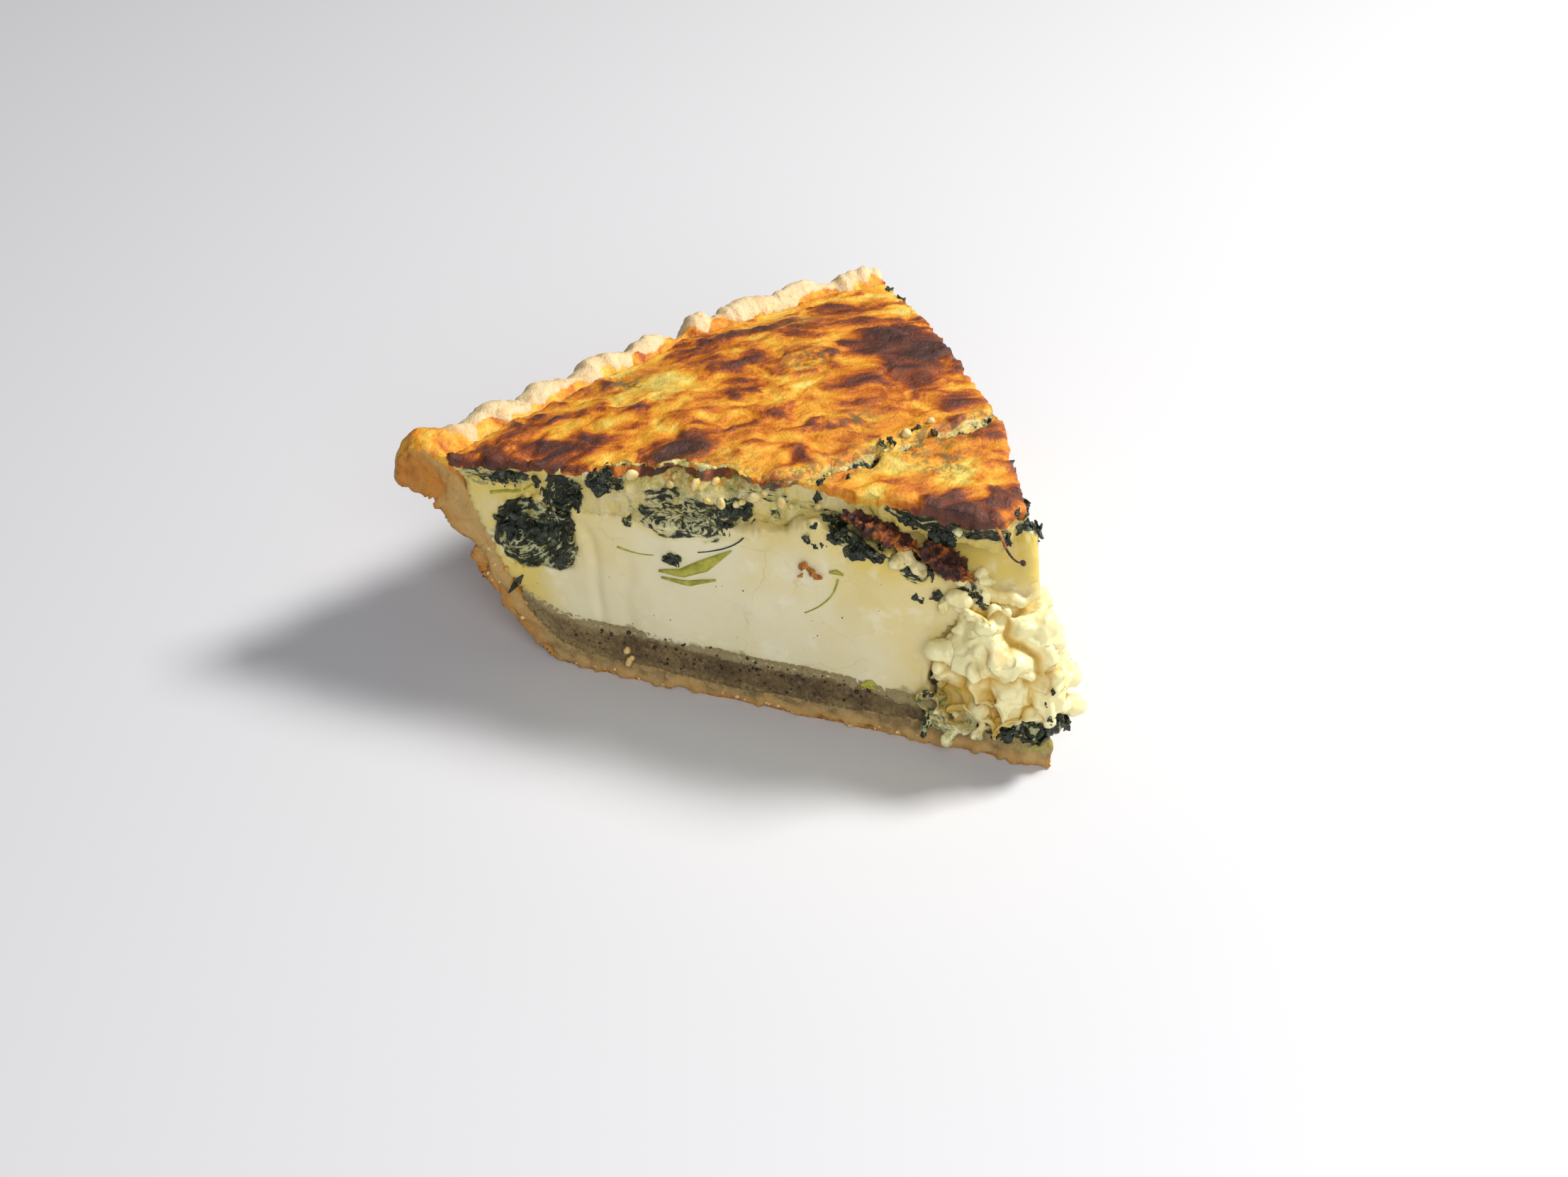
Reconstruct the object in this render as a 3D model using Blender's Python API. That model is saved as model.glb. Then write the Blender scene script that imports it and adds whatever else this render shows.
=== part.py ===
"""Slice of a deep-dish spinach quiche, cut from a round pie.

The tip of the slice points along -Y and its crimped rim is at +Y; +Z is up.
Each layer is a fan: a row of points along a radius is spun round the pie's axis
between the two cut faces, then given its upper and lower surface by height
functions of radius and bearing. The origin is under the middle of the slice.
"""
import math

import bmesh
import bpy
from mathutils import Matrix, Vector, noise

MM = 0.001
COLLECTION = "spinach_quiche_slice"

# --- driving dimensions (metres and radians) ---
HALF_WEDGE = math.radians(28.5)      # half of the angle between the cut faces
TIP_X = 2.8 * MM                     # where the pie's axis stands
TIP_Y = -57.2 * MM
RIM_R = 129.0 * MM                   # outer edge of the crimped rim at the -X cut face
FIRM_R = 90.0 * MM                   # inside this radius the slice keeps its round plan
RIM_SAG = 2.0 * MM                   # the rim stands lower where it is drawn in most
CRIMPS = 8.5                         # lobes round the rim of this slice
CRIMP_DEPTH = 1.3 * MM               # radial swing of a lobe
CRIMP_HEIGHT = 1.5 * MM
GAP = 0.3 * MM                       # clearance between touching pieces
SKIN_TIP_R = 13.7 * MM               # the browned skin stops short of the tip
CUSTARD_TIP_R = 9.0 * MM
CUSTARD_EDGE_R = 113.0 * MM
LAYER_EDGE_R = 117.2 * MM
PEPPER_R = (19.0 * MM, 103.0 * MM)
SHELF_END = 62.0 * MM                # the broken edge runs from here to the tip
TIP_WALL_Z = 33.0 * MM               # custard standing above the curdled tip
CRUMBLE_LIFT = math.radians(24)      # its underside rises over the clump at the tip
FLOOR_RADII = [r * MM for r in (26, 33, 40, 46, 52, 60, 67.5, 75, 82, 88, 90, 96, 98.3, 100, 103)]

# Height of each surface against radius, in millimetres: (radius, height)
CRUST_UNDER = ((0, 0), (95.5, 0), (97, 0), (101, 3.5), (104.5, 8), (108, 14.5), (111, 21),
               (114, 27), (117, 32), (121, 33), (125, 33.2), (128, 33.6), (129, 35))
CRUST_UPPER = ((0, 6.2), (18, 6), (40, 4.4), (60, 3.9), (90, 4.2), (96, 6), (100.5, 10),
               (103, 14), (106.5, 20.5), (109.5, 27), (112.5, 33.5), (114.5, 37.5),
               (117.5, 41), (120.5, 42.8), (123, 43.5), (126, 42.6), (128.2, 40.4), (129, 37.5))
PEPPER_UPPER = ((0, 8.5), (26, 9), (40, 10.8), (60, 10.6), (75, 11.4), (88, 11.2), (96, 12.4),
                (100, 14.2), (103.5, 16.4))
LAYER_UNDER = ((0, 44.5), (30, 44.5), (45, 42.5), (60, 38.5), (85, 37.5), (100, 38), (108, 38.6),
               (117.2, 39))
SKIN = ((0, 50.3), (14, 50.2), (30, 50.8), (45, 50.6), (54, 50), (68, 48.6), (80, 47.3),
        (94, 45.6), (106, 43.4), (114, 42), (117.2, 41.9))
BROKEN_EDGE = ((0, 34), (14, 34.8), (20, 35.6), (27, 37.8), (33, 39.8), (40, 41.4), (47, 44),
               (54, 46.5), (62, 47))
SHELF_DEPTH = ((0, 5), (25, 6), (38, 6.5), (50, 5), (62, 0))
SKIN_SETBACK_A = ((0, 2.6), (20, 2.2), (34, 3), (46, 3.8), (56, 2.6), (66, 0.2), (130, 0.2))
SKIN_SETBACK_B = ((0, 5.6), (14, 4.6), (22, 3.4), (32, 1.4), (40, 0.2), (130, 0.2))
PLAIN_CUT = ((0, 0), (130, 0))
# Radius of the rim against bearing from +Y in degrees: it is flatter than a true arc
RIM_LINE = ((-28.5, 117.5), (-22, 116), (-14, 114.8), (-5, 114.3), (3, 114.6), (9, 115.8),
            (14, 118), (19, 121.5), (24, 126), (28.5, 129))
TIP_SETBACK = ((0, 3.2), (14, 3), (22, 1.4), (32, 0.2), (130, 0))


def along(table, distance):
    """Read a (distance, value) table in millimetres; distance and result in metres."""
    reach = distance / MM
    for (x0, y0), (x1, y1) in zip(table, table[1:]):
        if reach <= x1:
            part = (reach - x0) / (x1 - x0)
            return (y0 + (y1 - y0) * max(part, 0.0)) * MM
    return table[-1][1] * MM


def cut_a(radius, bearing):
    """Distance along the -X cut face, and depth in from it, of a point in plan."""
    angle = HALF_WEDGE - bearing
    return radius * math.cos(angle), radius * math.sin(angle)


def lumps(x, y, z, size, height):
    """Soft uneven relief: a repeatable value between about -height and height."""
    return height * noise.noise(Vector((x, y, z)) / size)


def crust_under(radius, bearing):
    return along(CRUST_UNDER, radius)


def crust_upper(radius, bearing):
    return along(CRUST_UPPER, radius)


def pepper_upper(radius, bearing):
    return max(along(PEPPER_UPPER, radius), pepper_under(radius, bearing) + 2 * GAP)


def layer_under(radius, bearing):
    wave = lumps(radius, bearing * 80 * MM, 30 * MM, 14 * MM, 1.6 * MM)
    flat = along(LAYER_UNDER, radius) + wave
    return max(flat, crust_upper(radius, bearing) + GAP)


def skin(radius, bearing):
    relief = lumps(radius, bearing * 80 * MM, 60 * MM, 16 * MM, 0.5 * MM)
    top = along(SKIN, radius) + relief
    return max(top, layer_under(radius, bearing) + 2 * GAP)


def custard_under(radius, bearing):
    """The custard rests on the peppered layer and wall, and overhangs the tip."""
    if radius < 20 * MM:
        return TIP_WALL_Z
    floor = crust_upper(radius, bearing)
    if PEPPER_R[0] <= radius <= PEPPER_R[1] + 2 * MM:
        floor = max(floor, pepper_upper(radius, bearing))
    return floor + GAP


def custard_upper(radius, bearing):
    """Top of the custard, with a shelf broken away beside the -X cut face."""
    full = layer_under(radius, bearing) - GAP
    s, depth = cut_a(radius, bearing)
    if s > SHELF_END:
        return full
    shelf = along(BROKEN_EDGE, s)
    rise = (depth - along(SHELF_DEPTH, s)) / (1.5 * MM)
    blend = min(max(rise, 0.0), 1.0)
    return min(full, shelf + (full - shelf) * blend)


def pepper_under(radius, bearing):
    return crust_upper(radius, bearing) + GAP


def start(collection):
    """Clear the scene's objects and make the part's collection."""
    for item in list(bpy.data.objects):
        bpy.data.objects.remove(item, do_unlink=True)
    folder = bpy.data.collections.new(collection)
    bpy.context.scene.collection.children.link(folder)
    return folder


def material(name, colour, roughness):
    """A plain Principled material."""
    made = bpy.data.materials.new(name)
    made.use_nodes = True
    shader = made.node_tree.nodes["Principled BSDF"]
    shader.inputs["Base Color"].default_value = (*colour, 1.0)
    shader.inputs["Roughness"].default_value = roughness
    shader.inputs["Metallic"].default_value = 0.0
    made.diffuse_color = (*colour, 1.0)
    return made


def add_object(name, mesh_edit, finish):
    """Turn a bmesh into a named object of the part."""
    bmesh.ops.recalc_face_normals(mesh_edit, faces=mesh_edit.faces)
    mesh = bpy.data.meshes.new(name)
    mesh_edit.to_mesh(mesh)
    mesh_edit.free()
    mesh.shade_smooth()
    mesh.set_sharp_from_angle(angle=math.radians(40))
    mesh.materials.append(finish)
    made = bpy.data.objects.new(name, mesh)
    PART.objects.link(made)
    return made


def fan(radii, steps, under, upper, setback_a=PLAIN_CUT, setback_b=PLAIN_CUT):
    """A closed layer between the cut faces, from its two height functions."""
    shape = bmesh.new()
    row = []
    for radius in radii:
        row.append(shape.verts.new((radius * math.sin(HALF_WEDGE), radius * math.cos(HALF_WEDGE), 0)))
    edges = [shape.edges.new(pair) for pair in zip(row, row[1:])]
    bmesh.ops.spin(shape, geom=row + edges, cent=(0, 0, 0), axis=(0, 0, 1), dvec=(0, 0, 0),
                   angle=2 * HALF_WEDGE, steps=steps, use_merge=False)
    bmesh.ops.remove_doubles(shape, verts=shape.verts, dist=0.01 * MM)
    raised = bmesh.ops.extrude_face_region(shape, geom=shape.faces[:], use_keep_orig=True)
    top = {v for v in raised["geom"] if isinstance(v, bmesh.types.BMVert)}
    for vert in shape.verts:
        radius = math.hypot(vert.co.x, vert.co.y)
        bearing = math.atan2(-vert.co.x, vert.co.y)
        if radius > 0:
            low = -HALF_WEDGE + along(setback_b, radius) / radius
            high = HALF_WEDGE - along(setback_a, radius) / radius
            bearing = low + (high - low) * (bearing + HALF_WEDGE) / (2 * HALF_WEDGE)
        height = upper(radius, bearing) if vert in top else under(radius, bearing)
        vert.co = (-radius * math.sin(bearing), radius * math.cos(bearing), height)
    return shape


def crimp(shape):
    """Press the pinched lobes into the rim."""
    for vert in shape.verts:
        radius = math.hypot(vert.co.x, vert.co.y)
        bearing = math.atan2(-vert.co.x, vert.co.y)
        reach = (radius - 116 * MM) / (RIM_R - 116 * MM)
        if reach <= 0:
            continue
        turn = (bearing + HALF_WEDGE) / (2 * HALF_WEDGE) * CRIMPS * 2 * math.pi
        lobe = math.sin(turn + 0.5 * math.sin(3.1 * bearing))
        swell = lumps(bearing, 0.3, 0.7, 0.22, 1.0)
        out = radius + reach * (CRIMP_DEPTH * lobe + CRIMP_DEPTH * swell)
        vert.co.x = -out * math.sin(bearing)
        vert.co.y = out * math.cos(bearing)
        vert.co.z += reach * (1.6 - reach) * (CRIMP_HEIGHT * lobe + CRIMP_HEIGHT * swell)


def spread(start_r, end_r, count):
    """Evenly spaced radii, in metres, from two in millimetres."""
    return [(start_r + (end_r - start_r) * i / (count - 1)) * MM for i in range(count)]


def draw_in(shape):
    """Flatten the outer part of a shape to the line of the rim."""
    least = min(radius for bearing, radius in RIM_LINE) * MM
    for vert in shape.verts:
        radius = math.hypot(vert.co.x, vert.co.y)
        if radius <= FIRM_R:
            continue
        bearing = math.atan2(-vert.co.x, vert.co.y)
        rim = along(RIM_LINE, math.degrees(bearing) * MM)
        share = (radius - FIRM_R) / (RIM_R - FIRM_R)
        drawn = FIRM_R + share * (rim - FIRM_R)
        vert.co.x *= drawn / radius
        vert.co.y *= drawn / radius
        height = min(vert.co.z / along(SKIN, radius), 1.0)
        vert.co.z -= RIM_SAG * share * height * (RIM_R - rim) / (RIM_R - least)


def place(shape):
    """Move a shape from the pie's axis to the part's frame."""
    draw_in(shape)
    bmesh.ops.translate(shape, verts=shape.verts, vec=(TIP_X, TIP_Y, 0))


def blob(size, centre, relief, seed, tilt=0.0, level=3):
    """A lumpy egg with half-axes `size`, its first axis along the -X cut face."""
    shape = bmesh.new()
    bmesh.ops.create_icosphere(shape, subdivisions=level, radius=1.0)
    turn = Matrix.Rotation(HALF_WEDGE + math.pi / 2, 3, "Z") @ Matrix.Rotation(tilt, 3, "Y")
    for vert in shape.verts:
        unit = vert.co.normalized()
        swell = 1.0 + relief * noise.noise(unit * 1.7 + Vector((seed, 0, 0)))
        body = Vector((unit.x * size[0], unit.y * size[1], unit.z * size[2])) * swell
        vert.co = turn @ body + Vector(centre)
    return shape


def on_cut_a(s, depth, height):
    """A point given along the -X cut face, in from it, and up, in millimetres."""
    run = Vector((-math.sin(HALF_WEDGE), math.cos(HALF_WEDGE), 0))
    inward = Vector((math.cos(HALF_WEDGE), math.sin(HALF_WEDGE), 0))
    return (run * s + inward * depth + Vector((0, 0, height))) * MM


def slice_flat(shape, point, normal):
    """Cut away what lies on the normal's side of a plane, and close the cut."""
    geometry = shape.verts[:] + shape.edges[:] + shape.faces[:]
    cut = bmesh.ops.bisect_plane(shape, geom=geometry, dist=0.001 * MM, plane_co=point,
                                 plane_no=normal, clear_outer=True)
    rim = [e for e in cut["geom_cut"] if isinstance(e, bmesh.types.BMEdge)]
    bmesh.ops.edgeloop_fill(shape, edges=rim)


def carve(target, piece, room=2 * GAP):
    """Cut a pocket for `piece`, swollen by `room`, out of `target`."""
    cutter = piece.copy()
    cutter.data = piece.data.copy()
    cutter.name = "cutter_" + piece.name + "_" + target.name
    shape = bmesh.new()
    shape.from_mesh(cutter.data)
    shape.normal_update()
    moves = [(vert, vert.normal.copy()) for vert in shape.verts]
    for vert, normal in moves:
        vert.co += normal * room
    shape.to_mesh(cutter.data)
    shape.free()
    CUTTERS.objects.link(cutter)
    cutter.hide_render = True
    cutter.display_type = "WIRE"
    boolean = target.modifiers.new("pocket_" + piece.name, "BOOLEAN")
    boolean.operation = "DIFFERENCE"
    boolean.object = cutter


def make_crust(finish):
    radii = [r * MM for r in (0, 18, 40, 60, 76, 90, 96, 98.3, 100.5, 103, 104.8, 106.5, 109.5,
                              112.5, 114.5, 117.5, 119, 120.5, 123, 126, 128.2, 129)]
    shape = fan(radii, 32, crust_under, crust_upper)
    crimp(shape)
    place(shape)
    return add_object("crust", shape, finish)


def make_peppered_layer(finish):
    shape = fan([PEPPER_R[0]] + FLOOR_RADII, 14, pepper_under, pepper_upper)
    place(shape)
    return add_object("peppered_layer", shape, finish)


def make_custard(finish):
    radii = [CUSTARD_TIP_R] + spread(12, 19.4, 3) + [20.6 * MM] + FLOOR_RADII
    radii += [106.5 * MM, 109.5 * MM, CUSTARD_EDGE_R]
    shape = fan(radii, 24, custard_under, custard_upper, setback_a=TIP_SETBACK,
                setback_b=TIP_SETBACK)
    place(shape)
    return add_object("custard", shape, finish)


def make_spinach_layer(finish):
    radii = [SKIN_TIP_R] + spread(18, 108, 17) + spread(111, LAYER_EDGE_R / MM, 3)
    shape = fan(radii, 20, layer_under, skin, setback_a=SKIN_SETBACK_A, setback_b=SKIN_SETBACK_B)
    place(shape)
    return add_object("spinach_layer", shape, finish)


def make_side_clump(finish):
    """Wad of cooked spinach sunk in the -X cut face near the wall."""
    shape = blob((9.2 * MM, 7.5 * MM, 7.6 * MM), on_cut_a(99.5, 2.2, 29.3), 0.35, 3.1,
                 tilt=math.radians(18))
    slice_flat(shape, on_cut_a(0, -0.6, 0), on_cut_a(0, -1, 0).normalized())
    place(shape)
    return add_object("spinach_clump_side", shape, finish)


def make_tip_clump(finish):
    """Flat wad of spinach lying on the crust under the curdled tip."""
    shape = blob((7.6 * MM, 5.4 * MM, 3.0 * MM), on_cut_a(7.0, 2.6, 9.0), 0.25, 5.7)
    slice_flat(shape, Vector((0, 0, 6.2 * MM + GAP)), Vector((0, 0, -1)))
    place(shape)
    return add_object("spinach_clump_tip", shape, finish)


def make_tip_crumble(finish):
    """Curdled custard slumped out of the tip."""
    shape = blob((13.4 * MM, 9.4 * MM, 15.6 * MM), on_cut_a(12.4, 4.6, 18.6), 0.26, 8.4)
    slice_flat(shape, Vector((0, 0, 6.2 * MM + GAP)), Vector((0, 0, -1)))
    over_clump = Vector((0, -math.sin(CRUMBLE_LIFT), -math.cos(CRUMBLE_LIFT)))
    slice_flat(shape, on_cut_a(14, 0, 6.8), over_clump)
    slice_flat(shape, Vector((0, 0, TIP_WALL_Z - GAP)), Vector((0, 0, 1)))
    place(shape)
    return add_object("tip_crumble", shape, finish)


def make_strip(name, head, foot, width, thickness, seed, finish):
    """A crisp browned shred lying down the broken edge, from head to foot."""
    shape = bmesh.new()
    bmesh.ops.create_cube(shape, size=1.0)
    bmesh.ops.subdivide_edges(shape, edges=shape.edges[:], cuts=4, use_grid_fill=True)
    run = foot - head
    side = Vector((math.cos(HALF_WEDGE), math.sin(HALF_WEDGE), 0))
    normal = run.cross(side).normalized()
    if normal.z < 0:
        normal.negate()
    middle = (head + foot) / 2
    for vert in shape.verts:
        t = vert.co.x
        taper = 1.0 - 0.55 * (2 * t) ** 2
        rough = 1.0 + 0.35 * noise.noise(vert.co * 3.7 + Vector((seed, 0, 0)))
        across = side * vert.co.y * width * taper * rough
        up = normal * vert.co.z * thickness * taper * rough
        vert.co = middle + run * t + across + up
    bmesh.ops.smooth_vert(shape, verts=shape.verts, factor=0.5, use_axis_x=True,
                          use_axis_y=True, use_axis_z=True)
    place(shape)
    return add_object(name, shape, finish)


PART = start(COLLECTION)
CUTTERS = bpy.data.collections.new("cutters")
bpy.context.scene.collection.children.link(CUTTERS)

PASTRY = material("pastry", (0.72, 0.50, 0.25), 0.75)
PEPPERED = material("peppered", (0.19, 0.14, 0.075), 0.6)
CUSTARD = material("custard", (0.78, 0.70, 0.42), 0.4)
BROWNED = material("browned_top", (0.72, 0.31, 0.05), 0.35)
SPINACH = material("spinach", (0.03, 0.05, 0.025), 0.4)
CHARRED = material("charred", (0.10, 0.03, 0.015), 0.45)

crust = make_crust(PASTRY)
peppered_layer = make_peppered_layer(PEPPERED)
custard = make_custard(CUSTARD)
spinach_layer = make_spinach_layer(BROWNED)
side_clump = make_side_clump(SPINACH)
tip_clump = make_tip_clump(SPINACH)
tip_crumble = make_tip_crumble(CUSTARD)
upper_strip = make_strip("browned_strip_upper", on_cut_a(41.5, 1.0, 46.8), on_cut_a(27.5, 1.6, 41.6),
                         5.2 * MM, 3.0 * MM, 1.3, CHARRED)
lower_strip = make_strip("browned_strip_lower", on_cut_a(26.6, 1.0, 42.6), on_cut_a(17.6, 1.4, 37.9),
                         6.2 * MM, 3.6 * MM, 4.9, CHARRED)

carve(custard, side_clump)
carve(tip_crumble, tip_clump)
carve(custard, tip_crumble)
carve(peppered_layer, tip_crumble)
carve(custard, upper_strip)
carve(custard, lower_strip)
carve(spinach_layer, upper_strip)
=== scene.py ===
"""Spinach quiche slice: baked surfaces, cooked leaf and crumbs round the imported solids.

Each piece starts from the solid it stands for, is remeshed fine, relaxed and then
shaped by relief functions. Lengths inside the shaping code are millimetres measured
from the pie's axis at the tip of the slice; objects are in metres.
"""
import math
import random

import bmesh
import bpy
import numpy as np
from bpy.props import FloatProperty, FloatVectorProperty, IntProperty, PointerProperty
from mathutils import Matrix, Vector
from mathutils.bvhtree import BVHTree


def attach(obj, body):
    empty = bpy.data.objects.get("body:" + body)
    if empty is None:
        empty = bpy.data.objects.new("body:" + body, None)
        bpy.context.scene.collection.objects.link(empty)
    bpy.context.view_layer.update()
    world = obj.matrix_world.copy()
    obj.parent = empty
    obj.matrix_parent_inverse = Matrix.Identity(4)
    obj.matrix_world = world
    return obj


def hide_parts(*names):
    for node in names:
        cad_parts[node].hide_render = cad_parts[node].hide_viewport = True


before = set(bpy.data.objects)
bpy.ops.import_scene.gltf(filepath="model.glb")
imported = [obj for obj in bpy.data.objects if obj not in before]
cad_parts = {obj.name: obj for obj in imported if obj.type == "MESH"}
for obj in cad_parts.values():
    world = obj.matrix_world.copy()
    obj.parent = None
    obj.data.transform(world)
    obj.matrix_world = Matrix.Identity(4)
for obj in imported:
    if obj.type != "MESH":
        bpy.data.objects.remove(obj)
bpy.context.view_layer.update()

bl_info = {
    "name": "Spinach Quiche Slice",
    "version": (1, 0, 0),
    "blender": (4, 5, 0),
    "location": "View3D > Sidebar > Quiche",
    "description": "Builds a baked quiche slice round its packed solids",
    "category": "Add Mesh",
}

MM = 0.001
BODY = "root"
HALF_WEDGE = math.radians(28.5)
TIP_POINT = min((v.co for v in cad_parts["crust"].data.vertices), key=lambda place: place.y)
TIP = (TIP_POINT.x, TIP_POINT.y, 0.0)  # the crust's point stands on the pie's axis
BASE_TOP_Z = 6.2                      # top of the crust at the tip, mm
SIN, COS = math.sin(HALF_WEDGE), math.cos(HALF_WEDGE)
RUN_A, IN_A = np.array((-SIN, COS, 0.0)), np.array((COS, SIN, 0.0))
RUN_B, IN_B = np.array((SIN, COS, 0.0)), np.array((-COS, SIN, 0.0))
UP = np.array((0.0, 0.0, 1.0))


# Radius of the rim against bearing in degrees; a true arc would be RIM_R all round
RIM_R, FIRM_R = 129.0, 90.0
RIM_LINE = ((-28.5, -22, -14, -5, 3, 9, 14, 19, 24, 28.5),
            (117.5, 116, 114.8, 114.3, 114.6, 115.8, 118, 121.5, 126, 129))
# Heights of the pastry's and the peppered layer's upper faces against that radius
PASTRY_TOP = ((0, 18, 40, 60, 90, 96, 100.5, 103, 106.5, 109.5, 112.5, 114.5, 117.5, 120.5, 129),
              (6.2, 6, 4.4, 3.9, 4.2, 6, 10, 14, 20.5, 27, 33.5, 37.5, 41, 42.8, 43))
PEPPER_TOP = ((0, 26, 40, 60, 75, 88, 96, 100, 103.5), (8.5, 9, 10.8, 10.6, 11.4, 11.2, 12.4, 14.2, 16.4))
SKIN_TOP = ((0, 30, 54, 68, 80, 94, 106, 117), (50.3, 50.8, 50, 48.6, 47.3, 45.6, 43.4, 41.9))

# Wads and shreds of cooked leaf in a cut face, mm: run, height, half-lengths, tilt, strength
LEAVES_A = ((102, 30.0, 8.5, 6.2, -42, 1.0), (95, 39.5, 4.4, 5.2, 0, 0.95), (93.6, 31, 1.5, 2.3, 0, 0.85),
            (108, 40.8, 8.5, 2.2, -4, 0.72), (86, 43.9, 4.4, 2.3, 0, 0.85), (72, 40.0, 12.5, 5.4, -6, 0.74),
            (62.6, 42, 5.0, 4.0, -25, 0.85), (82, 36.6, 1.3, 1.6, 0, 0.8), (73.6, 30.2, 2.5, 1.7, -20, 0.9),
            (104.6, 17.2, 0.8, 2.6, 28, 0.95), (39, 41.6, 7.5, 2.5, 18, 0.85),
            (29.5, 38.4, 5.0, 1.9, 32, 0.8), (17.5, 34.4, 3.8, 1.0, 22, 0.8), (24, 48.2, 12, 3.0, 4, 0.85),
            (47, 44.6, 6.0, 1.6, 12, 0.6),
            (58, 46.8, 7.5, 1.6, 6, 0.6), (42.4, 34.4, 1.4, 0.5, -12, 0.85), (35.5, 10.2, 1.5, 0.8, 0, 0.8))
LEAVES_B = ((85, 39.5, 15, 4.0, 0, 0.75), (60, 38.5, 12, 5.0, 10, 0.7), (99, 32, 7.5, 5.5, -40, 0.95),
            (35, 42.5, 12, 3.5, 4, 0.85), (18, 46.5, 8.0, 3.0, 8, 0.85), (72, 26, 3.0, 1.4, -20, 0.8),
            (48, 30, 2.0, 1.2, 30, 0.8))


# ---------------------------------------------------------------- numbers over points

def step(low, high, value):
    """Smooth rise from 0 at low to 1 at high."""
    t = np.clip((value - low) / (high - low), 0.0, 1.0)
    return t * t * (3.0 - 2.0 * t)


def window(low, high, soft, value):
    """1 between low and high, fading over soft outside them."""
    return step(low - soft, low, value) * (1.0 - step(high, high + soft, value))


def lattice(i, j, k, seed):
    """A repeatable number from 0 to 1 for every corner of a grid."""
    h = (i * 374761393 + j * 668265263 + k * 2147483647 + seed * 974634777) & 0xFFFFFFFF
    h = ((h ^ (h >> 13)) * 1274126177) & 0xFFFFFFFF
    return ((h ^ (h >> 16)) & 0xFFFF) / 65535.0


def grain(points, size, seed):
    """Value noise from -1 to 1 with lumps about `size` across."""
    place = points / size + 1000.0
    cell = np.floor(place).astype(np.int64)
    f = place - cell
    f = f * f * f * (f * (f * 6.0 - 15.0) + 10.0)
    total = 0.0
    for a in (0, 1):
        for b in (0, 1):
            for c in (0, 1):
                weight = ((f[:, 0] if a else 1 - f[:, 0]) * (f[:, 1] if b else 1 - f[:, 1])
                          * (f[:, 2] if c else 1 - f[:, 2]))
                total = total + weight * lattice(cell[:, 0] + a, cell[:, 1] + b, cell[:, 2] + c, seed)
    return total * 2.0 - 1.0


def fractal(points, size, octaves, seed, fall=0.5):
    """Layers of noise, each half as large and `fall` as strong as the one before."""
    total, weight = 0.0, 1.0
    for octave in range(octaves):
        total = total + weight * grain(points, size * 0.5 ** octave, seed + 17 * octave)
        weight *= fall
    return total


def ridge(points, size, octaves, seed):
    """Creased noise: 1 on thin crests, falling away to 0."""
    total, weight, full = 0.0, 1.0, 0.0
    for octave in range(octaves):
        crest = 1.0 - np.abs(grain(points, size * 0.5 ** octave, seed + 31 * octave))
        total = total + weight * crest * crest
        full += weight
        weight *= 0.5
    return total / full


class Spots:
    """Where each point lies in the slice: along and in from the cut faces, and polar."""

    def __init__(self, co, normal):
        self.co = co
        self.normal = normal
        self.x, self.y, self.z = co[:, 0], co[:, 1], co[:, 2]
        self.run_a, self.in_a = co @ RUN_A, co @ IN_A
        self.run_b, self.in_b = co @ RUN_B, co @ IN_B
        true_radius = np.hypot(self.x, self.y)
        self.bearing = np.arctan2(-self.x, self.y)
        rim = np.interp(np.degrees(self.bearing), *RIM_LINE)
        beyond = np.maximum(true_radius - FIRM_R, 0.0) * ((RIM_R - FIRM_R) / (rim - FIRM_R) - 1.0)
        self.radius = true_radius + beyond        # as if the rim were a true arc
        self.face_a = step(0.45, 0.85, -(normal @ IN_A)) * (1.0 - step(1.5, 4.0, self.in_a))
        self.face_b = step(0.45, 0.85, -(normal @ IN_B)) * (1.0 - step(1.5, 4.0, self.in_b))
        self.cut = np.maximum(self.face_a, self.face_b)
        self.up = normal[:, 2]

    def near(self, x, y, reach):
        """1 at a place in plan, fading to 0 at `reach`."""
        return np.exp(-(((self.x - x) ** 2 + (self.y - y) ** 2) / (reach * reach)))


def to_line(x, y, points):
    """Distance in plan from each point to a line through `points`."""
    best = np.full(x.shape, 1e9)
    for (x0, y0), (x1, y1) in zip(points, points[1:]):
        dx, dy = x1 - x0, y1 - y0
        t = np.clip(((x - x0) * dx + (y - y0) * dy) / (dx * dx + dy * dy), 0.0, 1.0)
        best = np.minimum(best, np.hypot(x - x0 - t * dx, y - y0 - t * dy))
    return best


def leaf_field(p):
    """How much leaf lies at each point of the cut faces, and how its folds run."""
    strength = np.zeros(len(p.x))
    folds = np.stack([p.x, p.y, p.z], 1) / 2.0
    wobble = 0.22 * fractal(p.co, 3.2, 3, 23)
    for runs, insides, table in ((p.run_a, p.in_a, LEAVES_A), (p.run_b, p.in_b, LEAVES_B)):
        close = 1.0 - step(4.0, 7.0, np.abs(insides))
        for run, height, half_run, half_height, tilt, amount in table:
            turn = math.radians(tilt)
            du, dv = runs - run, p.z - height
            u = (du * math.cos(turn) + dv * math.sin(turn)) / half_run
            v = (dv * math.cos(turn) - du * math.sin(turn)) / half_height
            ring = np.hypot(u, v)
            here = amount * (1.0 - step(0.72, 1.12, ring + wobble)) * close
            size = 0.5 * (half_run + half_height)
            turned = np.stack([np.arctan2(v, u) * size / 4.2, ring * half_height / 1.05, insides / 2.0], 1)
            better = here > strength
            folds[better] = turned[better] + run
            strength = np.maximum(strength, here)
    return strength, folds


# ---------------------------------------------------------------- meshes

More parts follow.
